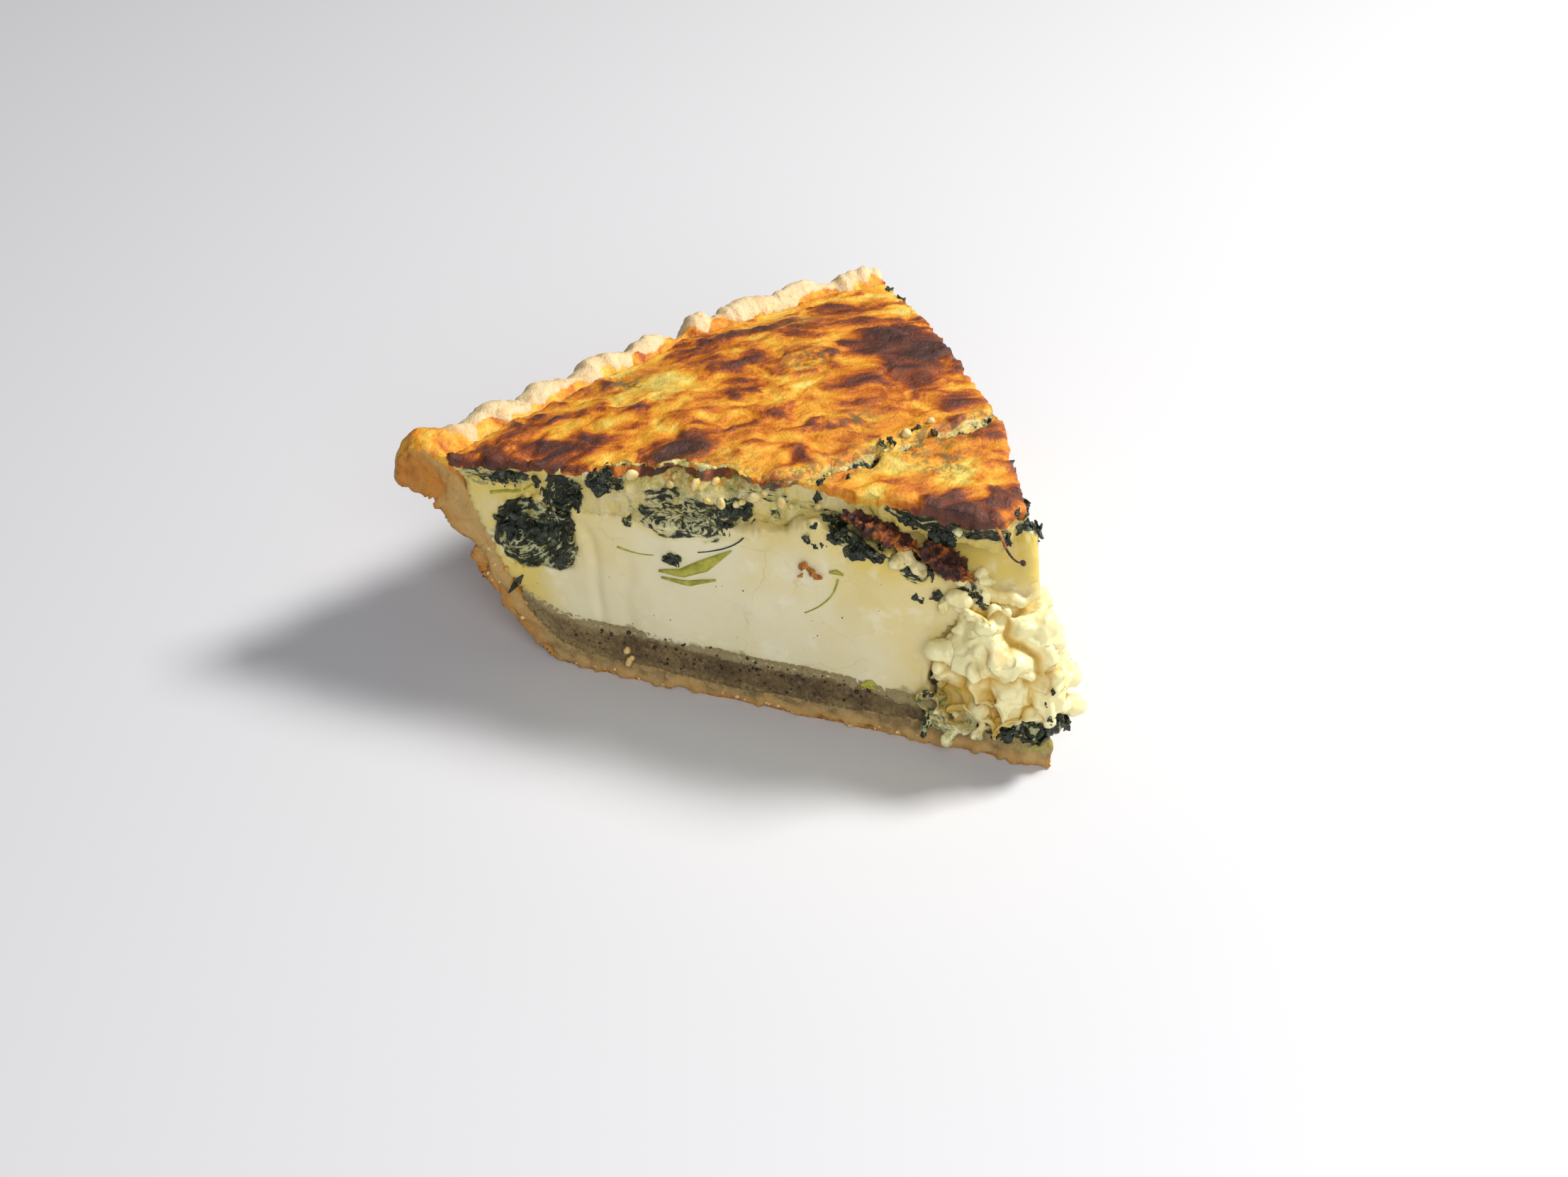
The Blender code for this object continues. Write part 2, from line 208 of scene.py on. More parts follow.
def read_points(mesh):
    """Vertex places and normals in slice millimetres."""
    co = np.empty(len(mesh.vertices) * 3, np.float32)
    mesh.vertices.foreach_get("co", co)
    normal = np.empty(len(mesh.vertices) * 3, np.float32)
    mesh.vertex_normals.foreach_get("vector", normal)
    return (co.reshape(-1, 3).astype(float) - TIP) / MM, normal.reshape(-1, 3).astype(float)


def write_points(mesh, co):
    """Put slice millimetres back as vertex places."""
    mesh.vertices.foreach_set("co", (co * MM + TIP).astype(np.float32).ravel())
    mesh.update()


def store(mesh, name, values):
    """Keep a number for each vertex, for the materials to read."""
    layer = mesh.attributes.new(name, "FLOAT", "POINT")
    layer.data.foreach_set("value", np.asarray(values, np.float32))


def store_vector(mesh, name, values):
    """Keep a direction or place for each vertex, for the materials to read."""
    layer = mesh.attributes.new(name, "FLOAT_VECTOR", "POINT")
    layer.data.foreach_set("vector", values.astype(np.float32).ravel())


def new_object(name, mesh):
    made = bpy.data.objects.new(name, mesh)
    bpy.context.scene.collection.objects.link(made)
    return made


def from_bmesh(name, shape):
    """A smooth-shaded object from a bmesh."""
    mesh = bpy.data.meshes.new(name)
    shape.to_mesh(mesh)
    shape.free()
    mesh.shade_smooth()
    return new_object(name, mesh)


def bake_modifiers(obj):
    """Replace an object's mesh by what its modifiers make of it."""
    graph = bpy.context.evaluated_depsgraph_get()
    mesh = bpy.data.meshes.new_from_object(obj.evaluated_get(graph))
    obj.modifiers.clear()
    old = obj.data
    obj.data = mesh
    bpy.data.meshes.remove(old)
    return obj


def node_copy(name, node):
    """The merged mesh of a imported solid, as a new object."""
    shape = bmesh.new()
    shape.from_mesh(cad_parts[node].data)
    bmesh.ops.remove_doubles(shape, verts=shape.verts, dist=0.002 * MM)
    bmesh.ops.recalc_face_normals(shape, faces=shape.faces)
    return from_bmesh(name, shape)


def remesh(obj, pitch_mm, relax_rounds):
    """An even skin of small faces, relaxed so that no facet of the solid is left."""
    voxel = obj.modifiers.new("voxel", "REMESH")
    voxel.mode = "VOXEL"
    voxel.voxel_size = pitch_mm * MM
    voxel.use_smooth_shade = True
    bake_modifiers(obj)
    if relax_rounds:
        smooth = obj.modifiers.new("relax", "SMOOTH")
        smooth.factor = 0.5
        smooth.iterations = relax_rounds
        bake_modifiers(obj)
    obj.data.shade_smooth()
    return obj


def finish_piece(obj, finish, slot, *nodes):
    """Give a piece its material and its place in the frame."""
    obj.data.materials.clear()
    obj.data.materials.append(finish)
    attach(obj, BODY)
    if nodes:
        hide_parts(*nodes)


# ---------------------------------------------------------------- shader helpers

class Value:
    """A socket that adds Math nodes when it is used in arithmetic."""

    def __init__(self, graph, socket):
        self.graph = graph
        self.socket = socket

    def math(self, operation, first, second=None, clamp=False):
        inputs = {0: first} if second is None else {0: first, 1: second}
        return self.graph.node("ShaderNodeMath", {"operation": operation, "use_clamp": clamp}, inputs)

    def __add__(self, other):
        return self.math("ADD", self, other)

    def __radd__(self, other):
        return self.math("ADD", other, self)

    def __sub__(self, other):
        return self.math("SUBTRACT", self, other)

    def __rsub__(self, other):
        return self.math("SUBTRACT", other, self)

    def __mul__(self, other):
        return self.math("MULTIPLY", self, other)

    def __rmul__(self, other):
        return self.math("MULTIPLY", other, self)

    def held(self):
        """The value kept between 0 and 1."""
        return self.math("ADD", self, 0.0, clamp=True)

    def rise(self, low, high):
        """Smooth rise from 0 at low to 1 at high."""
        return self.graph.node("ShaderNodeMapRange", {"interpolation_type": "SMOOTHSTEP"},
                               {"Value": self, "From Min": low, "From Max": high})


class Graph:
    """A material's nodes, ending in one Principled shader."""

    def __init__(self, name):
        self.material = bpy.data.materials.new(name)
        self.material.use_nodes = True
        self.tree = self.material.node_tree
        self.shader = self.tree.nodes["Principled BSDF"]
        self.place = self.node("ShaderNodeTexCoord", {}, {}, "Object")

    def node(self, kind, settings, inputs, output=0):
        """Any node, from its type, its settings and its sockets' values or links."""
        made = self.tree.nodes.new(kind)
        for key, value in settings.items():
            if key == "stops":
                self.set_stops(made.color_ramp, value)
            else:
                setattr(made, key, value)
        for key, value in inputs.items():
            self.feed(made.inputs[key], value)
        return Value(self, made.outputs[output])

    def feed(self, socket, value):
        if isinstance(value, Value):
            self.tree.links.new(value.socket, socket)
        elif isinstance(value, (tuple, list)) and len(value) == 3 and socket.type == "RGBA":
            socket.default_value = (*value, 1.0)
        else:
            socket.default_value = value

    @staticmethod
    def set_stops(ramp, stops):
        while len(ramp.elements) > 1:
            ramp.elements.remove(ramp.elements[-1])
        ramp.elements[0].position = stops[0][0]
        ramp.elements[0].color = (*stops[0][1], 1.0)
        for position, colour in stops[1:]:
            ramp.elements.new(position).color = (*colour, 1.0)

    def noise(self, size_mm, detail=3.0, rough=0.55, distort=0.0, vector=None):
        return self.field_noise(vector or self.place, 1.0 / (size_mm * MM), detail, rough, distort)

    def field_noise(self, vector, scale, detail=3.0, rough=0.55, distort=0.0):
        """Noise over any vector, with the scale given directly."""
        return self.node("ShaderNodeTexNoise", {}, {
            "Vector": vector, "Scale": scale, "Detail": detail, "Roughness": rough, "Distortion": distort})

    def cells(self, size_mm, feature="F1", vector=None, output=0):
        inputs = {"Vector": vector or self.place, "Scale": 1.0 / (size_mm * MM)}
        return self.node("ShaderNodeTexVoronoi", {"feature": feature}, inputs, output)

    def stored(self, name):
        """A number kept on the mesh."""
        return self.node("ShaderNodeAttribute", {"attribute_name": name}, {}, "Fac")

    def stored_vector(self, name):
        """A vector kept on the mesh."""
        return self.node("ShaderNodeAttribute", {"attribute_name": name}, {}, "Vector")

    def pushed(self, amount_mm, size_mm):
        """Object coordinates pushed about by noise."""
        push = self.node("ShaderNodeTexNoise", {}, {
            "Vector": self.place, "Scale": 1.0 / (size_mm * MM), "Detail": 3.0}, "Color")
        scaled = self.node("ShaderNodeVectorMath", {"operation": "SCALE"}, {0: push, "Scale": amount_mm * MM})
        return self.node("ShaderNodeVectorMath", {"operation": "ADD"}, {0: self.place, 1: scaled})

    def ramp(self, value, stops):
        return self.node("ShaderNodeValToRGB", {"stops": stops}, {"Fac": value})

    def mix(self, low, high, factor):
        return self.node("ShaderNodeMix", {"data_type": "RGBA"}, {6: low, 7: high, 0: factor}, 2)

    def bump(self, height, depth_mm, strength=1.0):
        return self.node("ShaderNodeBump", {},
                         {"Height": height, "Distance": depth_mm * MM, "Strength": strength})

    def leaf(self, base):
        """Lay cooked leaf over a colour; returns the colour, the leaf's mask and its shade."""
        options = bpy.context.scene.quiche_greens
        strength = self.stored("leafy")
        folds = self.stored_vector("folds")
        shreds = self.field_noise(folds, 1.0, 6, 0.62, 0.9)
        dust = self.noise(0.9, 4, 0.7)
        amount = shreds + (dust - 0.5) * 0.35 + strength * 0.58
        mask = amount.rise(0.91, 0.99)
        halo = (amount.rise(0.74, 0.93) * strength.rise(0.05, 0.35))
        stain = self.noise(2.6, 4, 0.6)
        soft = self.mix(tint(168, 174, 134), tint(150, 142, 52), stain.rise(0.48, 0.66))
        base = self.mix(base, soft, halo * 0.72)
        # The ramp's dark stops are the leaf's own colour; its paler grey-green stops are a painted sheen on
        # the folds that stand highest.
        shade = self.field_noise(folds, 1.7, 5, 0.65, 0.4)
        leaf = self.ramp(shade, [(0.32, tuple(options.leaf_dark)), (0.5, tint(28, 34, 20)),
                                 (0.6, tint(52, 58, 34)), (0.7, tint(96, 100, 66)),
                                 (0.8, tint(140, 142, 104))])
        return self.mix(base, leaf, mask), mask, shade

    def out(self, colour, roughness, normal=None, constants=None):
        """Wire the shader; constants are set on its own sockets."""
        self.feed(self.shader.inputs["Base Color"], colour)
        self.feed(self.shader.inputs["Roughness"], roughness)
        if normal is not None:
            self.feed(self.shader.inputs["Normal"], normal)
        for key, value in (constants or {}).items():
            self.shader.inputs[key].default_value = value
        return self.material


def custard_base(g):
    """Colour of set custard: cream, with yellow clouds, faint veins and flecks."""
    options = bpy.context.scene.quiche_filling
    base = g.mix(tuple(options.custard), tuple(options.custard_yellow),
                 (g.stored("yellow") + (g.noise(11, 5, 0.6) - 0.5) * 1.1).held())
    thin = 1.0 - g.cells(9, "DISTANCE_TO_EDGE", g.pushed(5, 8)).rise(0.0, 0.02)
    base = g.mix(base, tint(205, 188, 120), (thin * g.noise(12, 2).rise(0.5, 0.68) * 0.4).held())
    base = g.mix(base, tint(246, 241, 216), (g.noise(5, 4).rise(0.54, 0.72) * 0.5).held())
    speck = 1.0 - g.cells(3.4).rise(0.03, 0.07)
    sparse = g.cells(3.4, output="Color").rise(0.78, 0.82)
    return g.mix(base, tint(120, 95, 50), (speck * sparse * 0.8).held())


def baked_skin(g, level):
    """Colours of a browned skin, from golden to burnt."""
    return g.ramp(level.held(), [
        (0.0, tint(255, 222, 110)), (0.14, tint(254, 200, 70)), (0.28, tint(248, 172, 42)),
        (0.4, tint(234, 144, 24)), (0.52, tint(206, 110, 16)), (0.63, tint(164, 78, 20)),
        (0.76, tint(122, 60, 32)), (1.0, tint(78, 44, 34))])


def tint(red, green, blue):
    """A colour given as it looks on screen, 0 to 255, as linear values."""
    linear = []
    for channel in (red, green, blue):
        c = channel / 255.0
        linear.append(c / 12.92 if c <= 0.04045 else ((c + 0.055) / 1.055) ** 2.4)
    return tuple(linear)


SOFT = (1.0, 0.75, 0.42)              # how far red, green and blue travel inside custard


def custard_material():
    g = Graph("custard")
    fine = g.noise(2.2, 5, 0.6)
    grit = g.noise(1.2, 5, 0.7)
    foot = (g.stored("foot") + (g.noise(3.6, 6, 0.7) - 0.5) * 1.6 + (grit - 0.5) * 1.2).rise(0.45, 1.05)
    base = g.mix(custard_base(g), tint(168, 148, 102), foot * 0.7)
    base, mask, shade = g.leaf(base)
    height = fine * 0.5 + g.noise(0.8, 3) * 0.25 + mask * (0.9 + shade * 1.6) + foot * grit
    rough = 0.36 + (fine - 0.5) * 0.25 - mask * 0.1
    return g.out(base, rough, g.bump(height, 0.2, 0.8),
                 {"Subsurface Weight": 0.2, "Subsurface Radius": SOFT, "Subsurface Scale": 0.0025,
                  "Specular IOR Level": 0.5})


def pastry_material():
    g = Graph("pastry")
    options = bpy.context.scene.quiche_crust
    mottle = g.noise(6, 5, 0.65)
    fine = g.noise(1.3, 5, 0.7)
    strata = g.noise(1.6, 5, 0.7, 0.8)
    baking = g.stored("bake") + (mottle - 0.5) * 0.5 + (fine - 0.5) * 0.4 + (strata - 0.5) * 0.3
    colour = g.ramp(baking.held(), [
        (0.0, tuple(options.crumb)), (0.3, tint(204, 162, 94)), (0.48, tuple(options.golden)),
        (0.64, tint(206, 134, 44)), (0.8, tint(170, 94, 28)), (1.0, tint(104, 56, 24))])
    cream = g.mix(tint(248, 222, 174), tint(234, 186, 112), fine.rise(0.48, 0.74))
    colour = g.mix(colour, cream, (g.stored("pale") * (1.0 + (mottle - 0.5) * 0.8)).held())
    level = 0.33 + (mottle - 0.5) * 1.5 + (g.noise(2.4, 5, 0.66) - 0.5) * 0.8
    glazed = (g.stored("glaze") * 1.2 + (fine - 0.5) * 0.8).rise(0.25, 0.6)
    colour = g.mix(colour, baked_skin(g, level), glazed)
    dough = g.mix(tint(176, 152, 98), tint(122, 100, 60), g.noise(2.4, 5, 0.7).rise(0.4, 0.62))
    colour = g.mix(colour, dough, (g.stored("damp") * (0.85 + (mottle - 0.5) * 1.2)).held())
    colour = g.mix(colour, tint(184, 182, 78), (g.stored("olive") * fine.rise(0.4, 0.6)).held())
    spots = 1.0 - g.cells(2.2, vector=g.pushed(1.6, 1.6)).rise(0.1, 0.32)
    colour = g.mix(colour, tint(224, 192, 130), (spots * g.noise(4, 3).rise(0.5, 0.62) * 0.6).held())
    height = fine + g.noise(0.5, 4, 0.7) * 0.5 + strata * 0.6
    return g.out(colour, 0.6 + (fine - 0.5) * 0.3 - g.stored("glaze") * 0.28, g.bump(height, 0.45, 0.9),
                 {"Subsurface Weight": 0.05, "Subsurface Radius": SOFT, "Subsurface Scale": 0.0012})


def peppered_material():
    g = Graph("peppered")
    cloud = g.noise(3.2, 6, 0.7)
    fine = g.noise(0.8, 5, 0.72)
    colour = g.ramp((g.stored("dark") * 0.6 + (cloud - 0.5) * 1.0 + (fine - 0.5) * 0.7 + 0.1).held(), [
        (0.0, tint(176, 152, 100)), (0.3, tint(142, 118, 74)), (0.55, tint(110, 88, 54)),
        (0.8, tint(82, 64, 40)), (1.0, tint(48, 38, 26))])
    clear = 1.0 - g.cells(1.5, vector=g.pushed(1, 1.4)).rise(0.12, 0.42)
    colour = g.mix(colour, tint(172, 156, 114), (clear * g.noise(3, 2).rise(0.5, 0.6) * 0.5).held())
    warped = g.pushed(0.6, 0.7)
    pepper = 1.0 - g.cells(1.25, vector=warped).rise(0.12, 0.2)
    sparse = g.cells(1.25, vector=warped, output="Color").rise(0.7, 0.76)
    colour = g.mix(colour, tint(26, 18, 12), (pepper * sparse).held())
    edge = (g.stored("fringe") + (cloud - 0.5) * 1.6 + (fine - 0.5) * 1.2).rise(0.5, 0.95)
    colour = g.mix(colour, tint(190, 174, 124), edge * 0.75)
    height = fine * 1.3 + clear * 0.5 + cloud
    return g.out(colour, 0.5 + (fine - 0.5) * 0.3, g.bump(height, 0.45, 0.95),
                 {"Subsurface Weight": 0.06, "Subsurface Radius": SOFT, "Subsurface Scale": 0.0012})


def top_material():
    g = Graph("browned_top")
    skin = g.stored("skin")
    flow = g.stored_vector("flow")
    blotch = g.noise(7.0, 5, 0.55, 0.3, flow)
    patch = g.noise(2.8, 5, 0.6, 0.2, flow)
    speckle = g.noise(0.7, 5, 0.7, 0.2)
    level = g.stored("toast") + (blotch - 0.5) * 1.5 + (patch - 0.5) * 0.75 + (speckle - 0.5) * 0.4
    baked = baked_skin(g, level)
    green = g.noise(1.6, 4, 0.7)
    baked = g.mix(baked, tint(104, 106, 62), (g.stored("veil") * green.rise(0.46, 0.58) * 0.9).held())
    crumb = g.noise(2.2, 5, 0.7)
    cheese = g.ramp(crumb, [(0.34, tint(168, 150, 66)), (0.46, tint(212, 194, 104)),
                            (0.56, tint(236, 220, 142)), (0.7, tint(248, 236, 178))])
    toasted = (g.noise(1.8, 4, 0.7).rise(0.5, 0.62) * g.stored("singe")).held()
    cheese = g.mix(cheese, tint(226, 152, 46), toasted)
    cheese = g.mix(custard_base(g), cheese, (g.stored("slope") + (crumb - 0.5) * 0.9).rise(0.3, 0.6))
    cheese, mask, shade = g.leaf(cheese)
    baked_share = (skin + (green - 0.5) * 0.3).rise(0.35, 0.6)
    colour = g.mix(cheese, baked, baked_share)
    bare = 1.0 - baked_share
    rough = 0.42 + (speckle - 0.5) * 0.5 + bare * 0.04
    height = blotch + patch * 1.2 + speckle * 0.9 + bare * mask * shade * 1.6 + bare * crumb
    return g.out(colour, rough, g.bump(height, 0.55, 0.8),
                 {"Subsurface Weight": 0.05, "Subsurface Radius": SOFT, "Subsurface Scale": 0.0012,
                  "Specular IOR Level": 0.5, "Coat Weight": 0.06, "Coat Roughness": 0.3})


def curd_material():
    g = Graph("curds")
    options = bpy.context.scene.quiche_filling
    cloud = g.noise(5, 4)
    fine = g.noise(1.0, 4, 0.6)
    # Painted shade: the stored "deep" number is high in the hollows between curds, which get the darker
    # yellow; noise adds random tone over it.
    base = g.mix(tuple(options.curd), tuple(options.curd_shade_and_tone),
                 (g.stored("deep") + (cloud - 0.5) * 0.5 + (fine - 0.5) * 0.3).held())
    green = g.stored("green")
    base = g.mix(base, tint(126, 142, 96), (green * g.noise(2.2, 4, 0.7).rise(0.4, 0.58)).held())
    base = g.mix(base, tint(26, 34, 20), (green * g.noise(1.8, 5, 0.7, 0.6).rise(0.54, 0.58)).held())
    return g.out(base, 0.34 + (fine - 0.5) * 0.3, g.bump(fine, 0.18, 0.75),
                 {"Subsurface Weight": 0.18, "Subsurface Radius": SOFT, "Subsurface Scale": 0.002,
                  "Specular IOR Level": 0.5})


def spinach_material():
    g = Graph("spinach")
    options = bpy.context.scene.quiche_greens
    shade = g.noise(1.9, 5, 0.7, 0.5)
    hue = g.noise(5, 3)
    # The ramp runs from the leaf's own dark green to paler blue-green stops, a painted sheen on the folds
    # that the same noise raises.
    colour = g.ramp(shade, [(0.36, tuple(options.leaf_dark)), (0.5, tint(28, 38, 24)),
                            (0.6, tint(60, 72, 46)), (0.72, tint(118, 126, 86))])
    colour = g.mix(colour, tint(118, 110, 46), (hue.rise(0.54, 0.7) * shade.rise(0.46, 0.6) * 0.85).held())
    wrinkle = g.noise(0.7, 4, 0.65, 0.6)
    return g.out(colour, 0.22 + (shade - 0.5) * 0.3, g.bump(wrinkle + shade, 0.4, 0.9),
                 {"Specular IOR Level": 0.6})


def wad_material():
    g = Graph("leaf_wad")
    crumb = g.noise(2.6, 4, 0.6)
    base = g.mix(tint(196, 190, 136), tint(140, 132, 56), crumb.rise(0.4, 0.62))
    base, mask, shade = g.leaf(base)
    fine = g.noise(0.7, 4, 0.6)
    height = mask * (0.8 + shade * 2.0) + fine * 0.5
    return g.out(base, 0.34 + (fine - 0.5) * 0.3, g.bump(height, 0.35, 0.9), {"Specular IOR Level": 0.5})


def stem_material():
    g = Graph("olive_stem")
    shade = g.noise(2.0, 4, 0.6)
    colour = g.mix(tint(150, 146, 24), tint(190, 184, 70), shade.rise(0.35, 0.7))
    return g.out(colour, 0.4, g.bump(g.noise(0.6, 3), 0.15, 0.6),
                 {"Subsurface Weight": 0.2, "Subsurface Radius": SOFT, "Subsurface Scale": 0.002})


def charred_material():
    g = Graph("charred")
    shade = g.noise(1.4, 5, 0.72)
    colour = g.ramp((shade + g.stored("edge") * 0.4).held(), [
        (0.36, tint(34, 16, 12)), (0.5, tint(70, 32, 22)), (0.6, tint(112, 62, 44)),
        (0.74, tint(190, 98, 24)), (0.9, tint(230, 166, 72))])
    fine = g.noise(0.45, 4, 0.7)
    return g.out(colour, 0.36 + (fine - 0.5) * 0.4, g.bump(fine + shade, 0.45, 1.0),
                 {"Specular IOR Level": 0.55})


def pepper_material():
    g = Graph("pepper_corn")
    shade = g.noise(0.6, 3)
    colour = g.mix(tint(26, 18, 12), tint(78, 52, 30), shade.rise(0.4, 0.7))
    return g.out(colour, 0.5, g.bump(shade, 0.1, 0.6))


def crumb_material():
    g = Graph("crumb")
    shade = g.noise(1.5, 4)
    colour = g.mix(tint(238, 206, 138), tint(214, 150, 60), shade.rise(0.4, 0.66))
    return g.out(colour, 0.55, g.bump(g.noise(0.5, 3), 0.15, 0.7))


def cheese_material():
    g = Graph("cheese_crumb")
    shade = g.noise(2.0, 4)
    colour = g.mix(tint(234, 218, 156), tint(222, 178, 88), shade.rise(0.4, 0.66))
    return g.out(colour, 0.42, g.bump(g.noise(0.7, 3), 0.12, 0.6),
                 {"Subsurface Weight": 0.3, "Subsurface Radius": SOFT, "Subsurface Scale": 0.002})


# ---------------------------------------------------------------- settings

def colour_setting(name, description, default):
    return FloatVectorProperty(name=name, description=description, default=default, size=3,
                               min=0.0, max=1.0, subtype="COLOR")


class QuicheCrust(bpy.types.PropertyGroup):
    pitch: FloatProperty(name="Face size", description="Face size of the crust, mm", default=0.62, min=0.3)
    flake: FloatProperty(name="Flake depth", description="Depth of torn layers at the cut, mm", default=0.9)
    crumb: colour_setting("Crumb", "Inside of the pastry", tint(214, 180, 118))
    golden: colour_setting("Golden", "Baked outside of the pastry", tint(200, 142, 64))


class QuicheFilling(bpy.types.PropertyGroup):
    pitch: FloatProperty(name="Face size", description="Face size of the filling, mm", default=0.62, min=0.3)
    curds: IntProperty(name="Curds", description="Lumps in the slumped tip", default=95, min=10)
    custard: colour_setting("Custard", "Set custard", tint(236, 226, 186))
    custard_yellow: colour_setting("Custard, yellow", "Custard near wall and leaf", tint(230, 204, 106))
    curd: colour_setting("Curd", "Raised curds", tint(251, 240, 182))
    # Darker yellow used as painted shade in the hollows between curds, and as a random tone on the custard
    # lobes.
    curd_shade_and_tone: colour_setting("Curd, deep", "Hollows between curds", tint(212, 172, 66))


class QuicheTop(bpy.types.PropertyGroup):
    pitch: FloatProperty(name="Face size", description="Face size of the browned top, mm",
                         default=0.58, min=0.3)
    wrinkle: FloatProperty(name="Wrinkles", description="Height of the skin's wrinkles, mm", default=0.5)
    crack: FloatProperty(name="Crack", description="Depth of the crack across the tip, mm", default=2.6)


class QuicheGreens(bpy.types.PropertyGroup):
    density: FloatProperty(name="Leaf amount", description="Share of the leaf scraps made",
                           default=1.0, min=0.0)
    leaf_dark: colour_setting("Leaf", "Deepest cooked leaf", tint(14, 17, 10))


class QuicheStage(bpy.types.PropertyGroup):
    key: FloatProperty(name="Key light", description="Power of the main lamp", default=9.0, unit="POWER")
    fill: FloatProperty(name="Fill light", description="Power of the fill lamp", default=4.6, unit="POWER")
    lens: FloatProperty(name="Lens", description="Focal length, mm", default=63.04)


SETTINGS = {"quiche_crust": QuicheCrust, "quiche_filling": QuicheFilling, "quiche_top": QuicheTop,
            "quiche_greens": QuicheGreens, "quiche_stage": QuicheStage}
PIECES = {}                           # finished pieces by name, for later ones to sit on


# ---------------------------------------------------------------- shaping each piece

CRACK = [(-30, 52), (-20, 47), (-12, 45), (-5, 44), (3, 42), (10, 39), (20, 36.5)]
DARK_SPOTS = [(27, 63, 9, 0.55), (18, 58, 8, 0.25), (31, 68, 6, 0.3), (12, 66, 6, 0.2), (18, 45, 4, 0.4),
              (32, 84, 4.5, 0.4), (8, 88, 5, 0.35), (21, 88, 3.5, 0.3), (28, 75, 4, 0.35),
              (-22, 88, 3.5, 0.3),
              (-42, 90, 6, 0.5), (-36, 103, 4.5, 0.35), (-48, 94, 5, 0.35), (-37, 84, 4, 0.3),
              (-33, 77, 4.5, 0.3), (-28, 70, 4, 0.22), (-8, 66, 6, 0.15), (-2, 56, 5, 0.12),
              (-10, 34, 3, 0.2), (-5, 20, 4, 0.3), (12, 32, 3.5, 0.22), (-9, 27, 3, 0.2), (3, 16, 4, 0.25),
              (4, 104, 5, 0.25), (-52, 102, 5, 0.3), (10, 96, 9, 0.22), (24, 92, 9, 0.25),
              (25, 70, 12, 0.25), (-20, 106, 5, 0.15), (16, 98, 3, 0.15), (-9, 19, 5, 0.3), (-14, 27, 5, 0.3),
              (-19, 35, 4, 0.25), (6, 16, 4, 0.25), (11, 22, 4, 0.2)]
PALE_SPOTS = [(-11, 94, 5, 0.55), (-20, 93, 7, 0.2), (-22, 58, 6, 0.25), (-5, 38, 5, 0.25), (4, 26, 5, 0.15),
              (-27, 57, 5, 0.25), (-2, 100, 7, 0.12), (-14, 104, 6, 0.1), (3, 80, 4, 0.12)]


def wall_depth(p):
    """How far a point of the crust lies in from its outer surface."""
    wall = (-(p.radius - 97.0) * 32.0 + p.z * 20.0) / 37.7
    return np.clip(np.minimum(p.z, wall), 0.0, 8.0)


